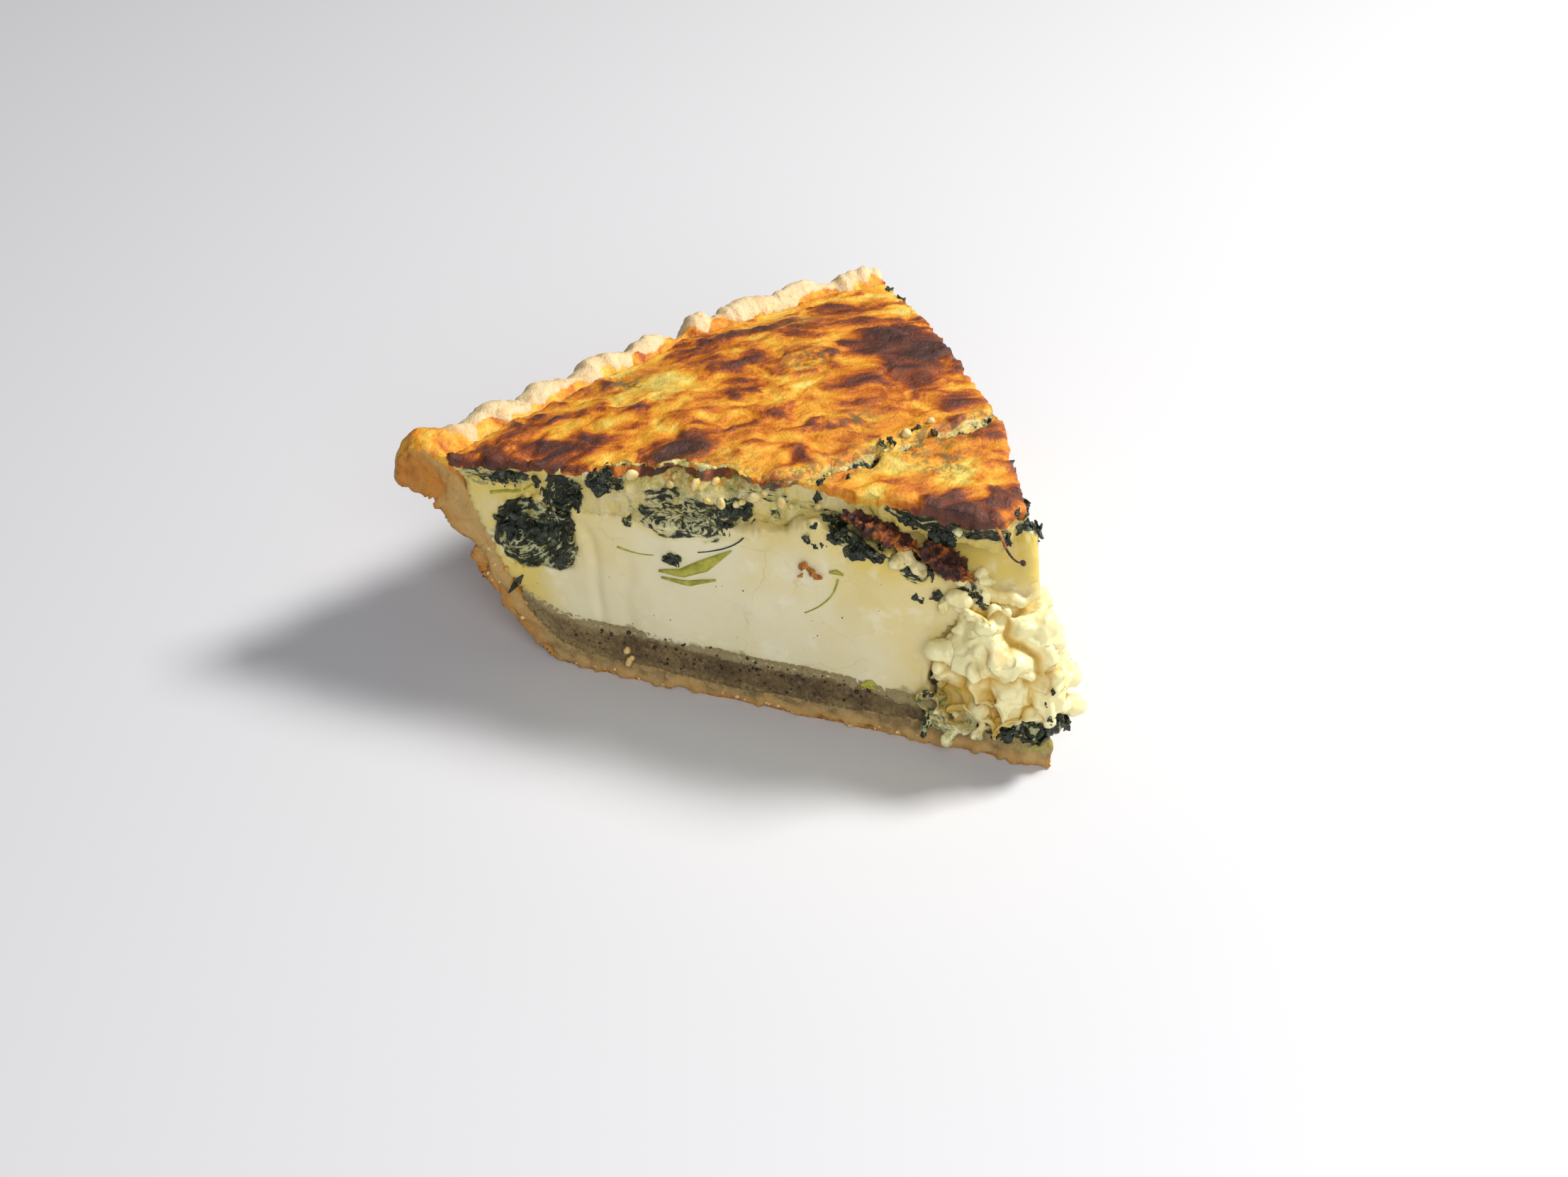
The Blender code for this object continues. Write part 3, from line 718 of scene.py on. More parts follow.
def shape_crust(obj):
    options = bpy.context.scene.quiche_crust
    co, normal = read_points(obj.data)
    p = Spots(co, normal)
    depth = wall_depth(p)
    rim = step(115.0, 119.0, p.radius)
    outer = 1.0 - p.cut
    layers = np.stack([p.run_a / 6.0, p.run_b / 6.0, depth / 1.1], 1)
    torn = ridge(layers, 1.0, 3, 11) - 0.45
    wall = step(95.0, 101.0, p.radius)
    move = p.cut * (torn * options.flake * (0.5 + 0.9 * wall - 0.3 * rim) + fractal(co, 2.4, 4, 12) * 0.4)
    move = move + outer * (fractal(co, 7.0, 4, 13) * 0.6 + ridge(co, 3.0, 3, 14) * 0.2)
    lines = grain(np.stack([p.bearing * 118.0, p.radius / 14.0, p.z / 14.0], 1), 1.15, 15)
    pinch = fractal(np.stack([p.bearing * 118.0, p.radius / 3.0, p.z / 3.0], 1), 4.5, 3, 17)
    move = move + rim * outer * (lines * 0.45 + pinch * 0.6 + fractal(co, 2.0, 2, 10) * 0.25)
    new = co + normal * move[:, None]
    flake = window(12.0, 31.0, 5.0, p.z) * (1 - step(1.0, 3.2, depth)) * (1 - step(5.0, 14.0, p.in_a))
    flake = flake * (0.75 + 0.8 * fractal(co, 4.0, 3, 19))
    outward = np.stack([p.x, p.y, 0 * p.x], 1) / np.maximum(np.hypot(p.x, p.y), 1.0)[:, None]
    new += outward * (flake * 2.4)[:, None]
    skirt = p.cut * (1 - step(0.0, 1.6, depth))
    new -= normal * (skirt * np.clip(fractal(co, 3.0, 3, 16), 0, 1) * 1.4)[:, None]
    foot = (1 - step(0.0, 2.2, p.z)) * (1 - step(0.4, 0.9, np.abs(normal[:, 2])))
    new += normal * (foot * (fractal(co, 2.6, 3, 18) * 1.1 + 0.35))[:, None] * (1, 1, 0)
    new[:, 2] = np.maximum(new[:, 2], 0.0)
    write_points(obj.data, new)
    top_rim = rim * step(0.0, 0.5, p.up)
    inner = step(0.1, 0.6, p.up) * (1 - step(118.5, 120.5, p.radius + 3.0 * pinch + 0.8 * lines)) * rim
    near_a = 1 - step(5.0, 12.0, p.in_a + 2.0 * pinch)
    bake = 0.48 + 0.2 * (1 - step(0.0, 2.2, depth)) * p.cut - 0.26 * p.cut + 0.2 * torn * p.cut * wall
    # The rim by cut face A is made 0.1 paler: painted light, lifting the shade that part falls in.
    bake = bake + 0.04 * rim * (1 - top_rim) + 0.2 * p.cut * rim - 0.1 * near_a * rim
    bake = bake + 0.14 * outer * (1 - step(0.0, 8.0, p.z)) + 0.2 * inner
    bake = bake + 0.22 * outer * (1 - rim) * fractal(co, 11.0, 4, 24)
    pale = top_rim * (1 - inner) * (1 - 0.7 * near_a) * (1.0 + 0.4 * lines)
    pale = pale + rim * outer * (1 - top_rim) * 0.6 * (1 - near_a)
    store(obj.data, "bake", np.clip(bake, 0, 1))
    store(obj.data, "pale", np.clip(pale, 0, 1) * (1 - 0.6 * p.cut))
    store(obj.data, "glaze", np.clip(inner + 0.5 * top_rim * near_a, 0, 1))
    store(obj.data, "olive", (1 - step(4.0, 9.0, p.radius)) * step(2.5, 4.5, p.z))
    above_foot = step(1.4, 3.4, p.z + 1.2 * fractal(co, 3.0, 3, 20))
    store(obj.data, "damp", p.cut * (1 - step(94.0, 104.0, p.radius)) * above_foot)


def shape_peppered(obj):
    co, normal = read_points(obj.data)
    p = Spots(co, normal)
    corner = 4.0 * p.cut * (1 - p.cut)
    move = (1 - p.cut) * 0.8 + corner * 0.5 + p.cut * (fractal(co, 2.0, 4, 21) * 0.5 + 0.1)
    new = co + normal * move[:, None]
    write_points(obj.data, new)
    low, high = np.interp(p.radius, *PASTRY_TOP), np.interp(p.radius, *PEPPER_TOP)
    share = (p.z - low) / np.maximum(high - low, 0.5)
    dark = 0.05 + 0.6 * window(0.25, 0.8, 0.3, share) - 0.5 * step(84, 100, p.radius)
    store(obj.data, "dark", np.clip(dark + 0.25 * fractal(co, 7.0, 2, 22), 0, 1))
    store(obj.data, "fringe", step(-2.6, -0.2, p.z - high))


def shape_custard(obj):
    co, normal = read_points(obj.data)
    p = Spots(co, normal)
    leafy, folds = leaf_field(p)
    smooth = fractal(co, 13.0, 2, 31) * 0.45 + fractal(co, 4.0, 2, 32) * 0.12
    fold_line = 88.0 + (p.z - 20.0) * 0.14 + 1.6 * grain(co, 9.0, 33)
    fold = np.exp(-((p.run_a - fold_line) / 1.1) ** 2) * window(12.0, 32.0, 4.0, p.z) * p.face_a
    fold = fold + 0.6 * np.exp(-((p.run_a - fold_line + 6.0) / 1.4) ** 2) * window(12, 27, 4, p.z) * p.face_a
    open_top = 1.0 - p.cut
    corner = 4.0 * p.cut * (1 - p.cut)
    crumbly = open_top * step(0.2, 0.7, p.up) * step(30.0, 33.5, p.z)
    wads = ridge(folds * (1.0, 1.0, 0.4), 1.6, 2, 37) - 0.4
    move = p.cut * (0.2 + smooth - 0.5 * fold + leafy * wads * 0.8) + open_top * 0.8 + corner * 0.5
    move = move + crumbly * (fractal(co, 3.2, 3, 34) * 1.1)
    new = co + normal * move[:, None]
    write_points(obj.data, new)
    store(obj.data, "yellow", custard_tone(p, leafy))
    ragged = p.z - np.interp(p.radius, *PEPPER_TOP) + 1.6 * fractal(co, 6.0, 3, 38)
    store(obj.data, "foot", 1 - step(-1.0, 1.8, ragged))
    store(obj.data, "leafy", leafy)
    store_vector(obj.data, "folds", folds)


def custard_tone(p, leafy):
    """How yellow the custard is: more by the wall, under the top and at the tip."""
    yellow = 0.1 + 0.75 * step(82, 104, p.radius) + 0.45 * step(33, 40, p.z) + 0.35 * p.face_b
    yellow = yellow + 0.65 * (1 - step(18, 48, p.radius)) + 0.25 * step(0.02, 0.4, leafy)
    return np.clip(yellow + 0.3 * fractal(p.co, 16.0, 3, 36), 0, 1)


def shape_top(obj):
    options = bpy.context.scene.quiche_top
    co, normal = read_points(obj.data)
    p = Spots(co, normal)
    past = p.x + 50.0
    across = p.y + 0.09 * past + 0.0025 * past * past
    flow = np.stack([p.x * 0.78, across, p.z * 0.8], 1)
    flow[:, :2] += 1.6 * np.stack([fractal(co, 8.0, 2, 55), fractal(co, 8.0, 2, 56)], 1)
    skin_up = step(0.35, 0.8, p.up)
    side = 1 - skin_up
    toast = 0.31 + 0.2 * fractal(flow, 9.0, 3, 41)
    for x, y, reach, amount in DARK_SPOTS:
        toast = toast + amount * p.near(x, y, reach) * (1.0 + 0.5 * fractal(flow, 3.0, 2, 43))
    for x, y, reach, amount in PALE_SPOTS:
        toast = toast - amount * p.near(x, y, reach)
    slab = 1.0 - step(36.0, 46.0, p.y + 0.15 * p.x)
    crack = to_line(p.x + 1.3 * grain(co, 4.0, 44), p.y + 1.3 * grain(co, 4.0, 45), CRACK)
    open_crack = 1 - step(0.6, 2.0, crack + 1.1 * fractal(co, 3.0, 2, 46))
    wrinkle = ridge(flow, 3.4, 3, 47) - 0.5
    bubbles = np.clip(fractal(flow, 5.5, 2, 58) - 0.12, 0, 1)
    toast = toast + 0.34 * step(0.05, 0.34, bubbles) * (0.6 + 0.6 * fractal(flow, 2.0, 3, 59))
    blister = np.clip(toast - 0.5, 0, 0.5)
    rough = 0.5 * wrinkle + 0.7 * fractal(flow, 2.0, 3, 48) + 1.5 * bubbles
    relief = options.wrinkle * rough + 0.7 * blister
    relief = relief + 0.5 * fractal(co, 16.0, 2, 49) - options.crack * open_crack
    edge_height = np.interp(p.radius, *SKIN_TOP)
    lumpy = ridge(co, 4.4, 3, 50)
    crumble = side * ((lumpy - 0.5) * 1.5 + fractal(co, 1.7, 3, 57) * 0.3 + 0.2)
    new = co + normal * (skin_up * relief + crumble)[:, None]
    new += normal * (step(0.3, 0.8, -p.up) * 0.6)[:, None]
    near_a = window(46.0, 84.0, 9.0, p.run_a)
    back = near_a * step(-5.0, 0.5, co[:, 2] - edge_height) * (3.4 + 2.2 * fractal(co, 5.0, 3, 51))
    short = np.clip(back - np.maximum(p.in_a, 0), 0, None)
    new += IN_A[None, :] * short[:, None]
    lip = skin_up * ((1 - step(0.0, 2.5, p.in_a)) + (1 - step(0.0, 2.0, p.in_b)))
    new += normal * (lip * 0.5 * fractal(co, 2.2, 3, 52))[:, None]
    write_points(obj.data, new)
    ragged = fractal(co, 2.4, 4, 53)
    on_slope = np.clip(short / 1.2, 0, 1) * (1 - slab)
    torn_off = np.clip(on_slope + 0.35 * ragged * (on_slope > 0.02), 0, 1)
    skin = skin_up * (1 - open_crack) * (1 - 0.9 * torn_off)
    crisp = step(-2.0 - 1.2 * slab, -0.6 - 1.2 * slab, p.z - edge_height + 0.9 * ragged)
    skin = np.maximum(skin, side * crisp)
    toast = toast + 0.2 * skin_up * (1 - step(0.0, 3.0, p.in_a))
    leafy, folds = leaf_field(p)
    leafy = np.maximum(leafy, 0.75 * open_crack * (0.8 + 0.5 * ragged))
    leafy = np.maximum(leafy, np.clip(on_slope, 0, 1) * (0.42 + 0.2 * ragged))
    store(obj.data, "skin", np.clip(skin, 0, 1))
    store(obj.data, "toast", np.clip(toast + (0.22 - 0.16 * slab) * side, 0, 1))
    store(obj.data, "leafy", np.clip(leafy, 0, 1))
    store(obj.data, "yellow", custard_tone(p, leafy))
    crumbled = on_slope + open_crack + p.face_b * step(-4.0, -2.0, p.z - edge_height)
    store(obj.data, "slope", np.clip(crumbled, 0, 1))
    veil = p.near(11, 77, 5) + p.near(25, 94, 4) + p.near(-24, 110, 5) + p.near(1.5, 54, 4)
    veil = veil + p.near(-15, 100, 5)
    veil = veil + 0.9 * p.near(1, 33, 6) + 0.8 * p.near(-30, 60, 8) + 0.7 * (1 - step(1.5, 6.0, crack))
    store(obj.data, "veil", np.clip(veil, 0, 1))
    store(obj.data, "singe", step(-4.0, -1.0, p.z - edge_height))
    store_vector(obj.data, "folds", folds)
    store_vector(obj.data, "flow", flow * MM)


def lump(shape, centre, size, seed, level=2):
    """Add one uneven egg-shaped lump to a bmesh; lengths in slice millimetres."""
    made = bmesh.ops.create_icosphere(shape, subdivisions=level, radius=1.0)
    pick = random.Random(seed)
    turn = Matrix.Rotation(pick.uniform(0, 6.28), 3, "Z") @ Matrix.Rotation(pick.uniform(0, 3.14), 3, "X")
    for vert in made["verts"]:
        body = turn @ Vector([vert.co[i] * size[i] for i in range(3)])
        vert.co = (body + Vector(centre)) * MM + Vector(TIP)


FOOT_CURDS, FOOT_SEED = 30, 300       # curds fallen over the pastry
RIDGE_CURDS, RIDGE_SEED = 14, 400     # curds at the top of the heap


def make_curds(obj):
    """Lumps over the tip's solid, melted together and folded."""
    options = bpy.context.scene.quiche_filling
    pick = random.Random(5)
    co, normal = read_points(obj.data)
    shape = bmesh.new()
    shape.from_mesh(obj.data)
    for vert in shape.verts:
        vert.co -= vert.normal * 0.6 * MM
    for index in range(options.curds):
        spot = pick.randrange(len(co))
        size = [pick.uniform(2.0, 4.2), pick.uniform(1.4, 2.6), pick.uniform(1.2, 2.2)]
        centre = co[spot] - normal[spot] * pick.uniform(0.6, 2.2)
        if centre[2] > BASE_TOP_Z + 0.8:
            lump(shape, centre, size, index)
    for index in range(FOOT_CURDS):
        foot = RUN_A * pick.uniform(16.0, 26.5) + IN_A * pick.uniform(-1.6, 0.2)
        foot = foot + UP * pick.uniform(4.0, 12.0)
        size = [pick.uniform(1.6, 3.2), pick.uniform(1.1, 2.1), pick.uniform(1.0, 1.9)]
        lump(shape, foot, size, FOOT_SEED + index)
    for index in range(RIDGE_CURDS):
        high = RUN_A * pick.uniform(8.0, 21.0) + IN_A * pick.uniform(0.2, 3.0) + UP * pick.uniform(30.0, 33.5)
        size = [pick.uniform(2.0, 3.6), pick.uniform(1.4, 2.4), pick.uniform(1.0, 1.8)]
        lump(shape, high, size, RIDGE_SEED + index)
    shape.to_mesh(obj.data)
    shape.free()
    remesh(obj, 0.4, 9)
    co, normal = read_points(obj.data)
    bent = co + 1.1 * np.stack([grain(co, 3.6, 64 + i) for i in range(3)], 1)
    heap = fractal(co, 8.0, 2, 67) * 0.9
    lumps = 1.0 - ridge(bent, 6.0, 1, 61)
    small = 1.0 - ridge(bent, 2.8, 1, 62)
    torn = ridge(bent, 2.0, 2, 68) - 0.45
    broken = fractal(bent, 1.3, 3, 66) * 0.22
    swell = lumps * 2.7 + small * 1.2 + torn * 0.4 - 2.1 + heap + broken
    write_points(obj.data, co + normal * swell[:, None])
    # Painted shade: the hollows between the lumps are marked for the darker yellow.
    store(obj.data, "deep", np.clip(1.3 - 1.5 * lumps - 0.7 * small, 0, 1))
    run = co @ RUN_A
    low = 1 - step(7.0, 11.5, co[:, 2])
    beside = step(19, 23, run) * (1 - step(11, 16, co[:, 2]))
    store(obj.data, "green", np.clip(low * 0.5 + 0.55 * beside, 0, 1))


def shape_clump(obj, seed):
    co, normal = read_points(obj.data)
    p = Spots(co, normal)
    folds = leaf_field(p)[1]
    pleats = ridge(folds * (1.0, 1.0, 0.5), 1.3, 2, seed) - 0.4
    move = pleats * 1.0 + fractal(co, 1.5, 3, seed + 1) * 0.3
    write_points(obj.data, co + normal * move[:, None])
    store(obj.data, "leafy", np.clip(0.82 + 0.12 * fractal(co, 3.0, 2, seed + 2), 0, 1))
    store_vector(obj.data, "folds", folds)


def shape_strip(obj, seed):
    co, normal = read_points(obj.data)
    middle = co.mean(axis=0)
    axes = np.linalg.svd(co - middle, full_matrices=False)[2]
    co = middle + ((co - middle) @ axes.T * (1.06, 0.72, 0.8)) @ axes
    crest = ridge(co, 1.6, 3, seed)
    move = (crest - 0.5) * 1.9 + fractal(co, 3.4, 2, seed + 2) * 0.7 + fractal(co, 0.7, 2, seed + 1) * 0.22
    write_points(obj.data, co + normal * move[:, None])
    low = step(0.62, 0.98, (co[:, 2].max() - co[:, 2]) / np.ptp(co[:, 2]))
    store(obj.data, "edge", np.clip(low * 0.75 + 0.5 * step(0.2, 0.5, fractal(co, 2.8, 2, seed + 3)), 0, 1))


# ---------------------------------------------------------------- small things

class Surface:
    """The finished pieces as something to drop small things on."""

    def __init__(self, names):
        graph = bpy.context.evaluated_depsgraph_get()
        self.trees = [BVHTree.FromObject(PIECES[name], graph) for name in names]

    def hit(self, start, direction, reach=60.0):
        """Nearest place and normal along a ray; slice millimetres."""
        origin = Vector(start) * MM + Vector(TIP)
        aim = Vector(direction).normalized()
        best = None
        for tree in self.trees:
            place, normal, _, distance = tree.ray_cast(origin, aim, reach * MM)
            if place is not None and (best is None or distance < best[2]):
                best = (place, normal, distance)
        if best is None:
            return None
        place = (best[0] - Vector(TIP)) / MM
        return place, best[1] if best[1].dot(aim) < 0 else -best[1]


def leaf_scrap(shape, place, normal, length, width, pick, curl=0.5):
    """One crumpled scrap of leaf lying near a surface."""
    made = bmesh.ops.create_grid(shape, x_segments=6, y_segments=3, size=0.5)
    along = normal.orthogonal().normalized()
    along.rotate(Matrix.Rotation(pick.uniform(0, 6.28), 3, normal))
    tilt = (normal + Vector([pick.uniform(-curl, curl) for _ in range(3)])).normalized()
    side = tilt.cross(along).normalized()
    along = side.cross(tilt)
    bend = pick.uniform(-0.7, 0.7)
    phase = [pick.uniform(0, 6.28) for _ in range(4)]
    for vert in made["verts"]:
        u, v = vert.co.x * 2, vert.co.y * 2
        taper = math.sqrt(max(1.0 - (0.92 * u) ** 2, 0.05))
        lift = 0.16 * length * (bend * u * u + 0.6 * math.sin(2.6 * v + 1.7 * u + phase[0])
                                + 0.35 * math.sin(5 * u + phase[1]))
        edge = 0.12 * length * math.sin(4.2 * u + phase[2])
        spot = along * (u * length / 2 + 0.08 * length * math.sin(3 * v + phase[3]))
        spot += side * (v * width / 2 * taper + edge) + tilt * lift
        vert.co = (place + spot) * MM + Vector(TIP)


def scatter_leaves(name, jobs, thickness_mm, seed):
    """Leaf scraps on surfaces. A job is (count, place function, smallest, largest, lift)."""
    density = bpy.context.scene.quiche_greens.density
    pick = random.Random(seed)
    shape = bmesh.new()
    for count, aim, small, large, curl in jobs:
        for _ in range(int(count * density)):
            spot = aim(pick)
            if spot is None:
                continue
            place, normal = spot
            length = pick.uniform(small, large)
            leaf_scrap(shape, place + normal * pick.uniform(-0.15, 0.35), normal, length,
                       length * pick.uniform(0.35, 0.8), pick, curl)
    obj = from_bmesh(name, shape)
    wall = obj.modifiers.new("wall", "SOLIDIFY")
    wall.thickness = thickness_mm * MM
    wall.offset = 0.0
    bake_modifiers(obj)
    obj.data.shade_smooth()
    return obj


def on_face(surface, run, inward, s, z):
    """The surface at a place on a cut face."""
    start = run * s - inward * 25.0 + UP * z
    return surface.hit(start, inward)


def ellipse_on(surface, run, inward, s, z, half_s, half_z, tilt_deg=0.0, fill=0.5):
    """Random places in a tilted ellipse on a cut face."""
    turn = math.radians(tilt_deg)

    def aim(pick):
        radius = pick.random() ** fill
        angle = pick.uniform(0, 2 * math.pi)
        a, b = radius * math.cos(angle) * half_s, radius * math.sin(angle) * half_z
        return on_face(surface, run, inward, s + a * math.cos(turn) - b * math.sin(turn),
                       z + a * math.sin(turn) + b * math.cos(turn))
    return aim


def from_view(surface, x, y, z, spread_xyz, direction, ceiling=99.0):
    """Random places reached from a fixed direction, none above a ceiling."""
    def aim(pick):
        target = Vector((x, y, z)) + Vector([pick.uniform(-a, a) for a in spread_xyz])
        spot = surface.hit(target - Vector(direction).normalized() * 40.0, direction, 90.0)
        return spot if spot is not None and spot[0].z < ceiling else None
    return aim


def small_lump(shape, place, normal, size, pick, level=1):
    """One uneven grain half sunk in a surface."""
    made = bmesh.ops.create_icosphere(shape, subdivisions=level, radius=1.0)
    turn = Matrix.Rotation(pick.uniform(0, 6.28), 3, "Z") @ Matrix.Rotation(pick.uniform(0, 3.1), 3, "X")
    stretch = [size * pick.uniform(0.6, 1.3) for _ in range(3)]
    for vert in made["verts"]:
        body = turn @ Vector([vert.co[i] * stretch[i] * pick.uniform(0.8, 1.15) for i in range(3)])
        vert.co = (place + body + normal * size * 0.25) * MM + Vector(TIP)


def scatter_lumps(name, jobs, seed, level=1):
    """Grains on surfaces. A job is (count, place function, smallest, largest)."""
    pick = random.Random(seed)
    shape = bmesh.new()
    for count, aim, small, large in jobs:
        for _ in range(count):
            spot = aim(pick)
            if spot is not None:
                small_lump(shape, spot[0], spot[1], pick.uniform(small, large), pick, level)
    for vert in shape.verts:
        vert.co.z = max(vert.co.z, 0.0)
    return from_bmesh(name, shape)


def thread(name, points, thick, tail):
    """A tapering thread through points, in slice millimetres."""
    curve = bpy.data.curves.new(name, "CURVE")
    curve.dimensions = "3D"
    curve.bevel_depth = thick * MM
    curve.bevel_resolution = 3
    curve.use_fill_caps = True
    line = curve.splines.new("NURBS")
    line.points.add(len(points) - 1)
    line.use_endpoint_u = True
    line.order_u = 3
    for index, spot in enumerate(points):
        line.points[index].co = (*(Vector(spot) * MM + Vector(TIP)), 1.0)
        t = index / (len(points) - 1)
        line.points[index].radius = 1.0 + (tail - 1.0) * t
    line.resolution_u = 6
    guide = new_object(name + "_guide", curve)
    graph = bpy.context.evaluated_depsgraph_get()
    mesh = bpy.data.meshes.new_from_object(guide.evaluated_get(graph))
    bpy.data.objects.remove(guide)
    shape = bmesh.new()
    shape.from_mesh(mesh)
    bpy.data.meshes.remove(mesh)
    bmesh.ops.remove_doubles(shape, verts=shape.verts, dist=0.001 * MM)
    bmesh.ops.recalc_face_normals(shape, faces=shape.faces)
    return from_bmesh(name, shape)


def blade(name, surface, spots, widths, lift=0.1):
    """A flat tapering leaf pressed on the -X cut face along (run, height) spots."""
    shape = bmesh.new()
    across = 4
    made = bmesh.ops.create_grid(shape, x_segments=4 * (len(spots) - 1), y_segments=across, size=0.5)
    stops = np.linspace(0.0, 1.0, len(spots))
    line = np.array(spots, float)
    for vert in made["verts"]:
        t = vert.co.x + 0.5
        run, height = np.interp(t, stops, line[:, 0]), np.interp(t, stops, line[:, 1])
        ahead = min(t + 0.05, 1.0)
        du = np.interp(ahead, stops, line[:, 0]) - np.interp(ahead - 0.05, stops, line[:, 0])
        dv = np.interp(ahead, stops, line[:, 1]) - np.interp(ahead - 0.05, stops, line[:, 1])
        half = vert.co.y * np.interp(t, stops, widths) / max(math.hypot(du, dv), 1e-6)
        place, normal = on_face(surface, RUN_A, IN_A, run - dv * half, height + du * half)
        vert.co = (place + normal * lift) * MM + Vector(TIP)
    obj = from_bmesh(name, shape)
    wall = obj.modifiers.new("wall", "SOLIDIFY")
    wall.thickness = 0.3 * MM
    wall.offset = 0.0
    bake_modifiers(obj)
    obj.data.shade_smooth()
    return obj


# ---------------------------------------------------------------- operators

class QUICHE_OT_crust(bpy.types.Operator):
    """Pastry base, wall and crimped rim"""
    bl_idname = "quiche.crust"
    bl_label = "Crust"

    def execute(self, context):
        obj = remesh(node_copy("crust_pastry", "crust"), context.scene.quiche_crust.pitch, 5)
        shape_crust(obj)
        finish_piece(obj, pastry_material(), "pastry", "crust")
        PIECES["crust"] = obj
        return {"FINISHED"}


class QUICHE_OT_filling(bpy.types.Operator):
    """Peppered layer and custard"""
    bl_idname = "quiche.filling"
    bl_label = "Filling"

    def execute(self, context):
        pitch = context.scene.quiche_filling.pitch
        peppered = remesh(node_copy("peppered_filling", "peppered_layer"), pitch, 3)
        shape_peppered(peppered)
        finish_piece(peppered, peppered_material(), "peppered", "peppered_layer")
        PIECES["peppered"] = peppered
        custard = remesh(node_copy("custard_filling", "custard"), pitch, 5)
        shape_custard(custard)
        finish_piece(custard, custard_material(), "custard", "custard")
        PIECES["custard"] = custard
        return {"FINISHED"}


class QUICHE_OT_top(bpy.types.Operator):
    """Spinach layer with its browned skin"""
    bl_idname = "quiche.top"
    bl_label = "Browned top"

    def execute(self, context):
        obj = remesh(node_copy("browned_spinach_top", "spinach_layer"), context.scene.quiche_top.pitch, 4)
        shape_top(obj)
        finish_piece(obj, top_material(), "browned_top", "spinach_layer")
        PIECES["top"] = obj
        return {"FINISHED"}


class QUICHE_OT_tip(bpy.types.Operator):
    """Curdled custard at the tip"""
    bl_idname = "quiche.tip"
    bl_label = "Curdled tip"

    def execute(self, context):
        obj = node_copy("curdled_tip", "tip_crumble")
        make_curds(obj)
        finish_piece(obj, curd_material(), "custard", "tip_crumble")
        PIECES["curds"] = obj
        return {"FINISHED"}


class QUICHE_OT_clumps(bpy.types.Operator):
    """Wads of cooked spinach and the two browned strips"""
    bl_idname = "quiche.clumps"
    bl_label = "Clumps and strips"

    def execute(self, context):
        leaf = wad_material()
        for name, node, seed in (("leaf_wad_side", "spinach_clump_side", 71),
                                 ("leaf_wad_tip", "spinach_clump_tip", 74)):
            obj = remesh(node_copy(name, node), 0.4, 2)
            shape_clump(obj, seed)
            finish_piece(obj, leaf, "spinach", node)
            PIECES[name] = obj
        char = charred_material()
        for name, node, seed in (("crisp_strip_upper", "browned_strip_upper", 81),
                                 ("crisp_strip_lower", "browned_strip_lower", 84)):
            obj = remesh(node_copy(name, node), 0.25, 2)
            shape_strip(obj, seed)
            finish_piece(obj, char, "charred", node)
            PIECES[name] = obj
        return {"FINISHED"}


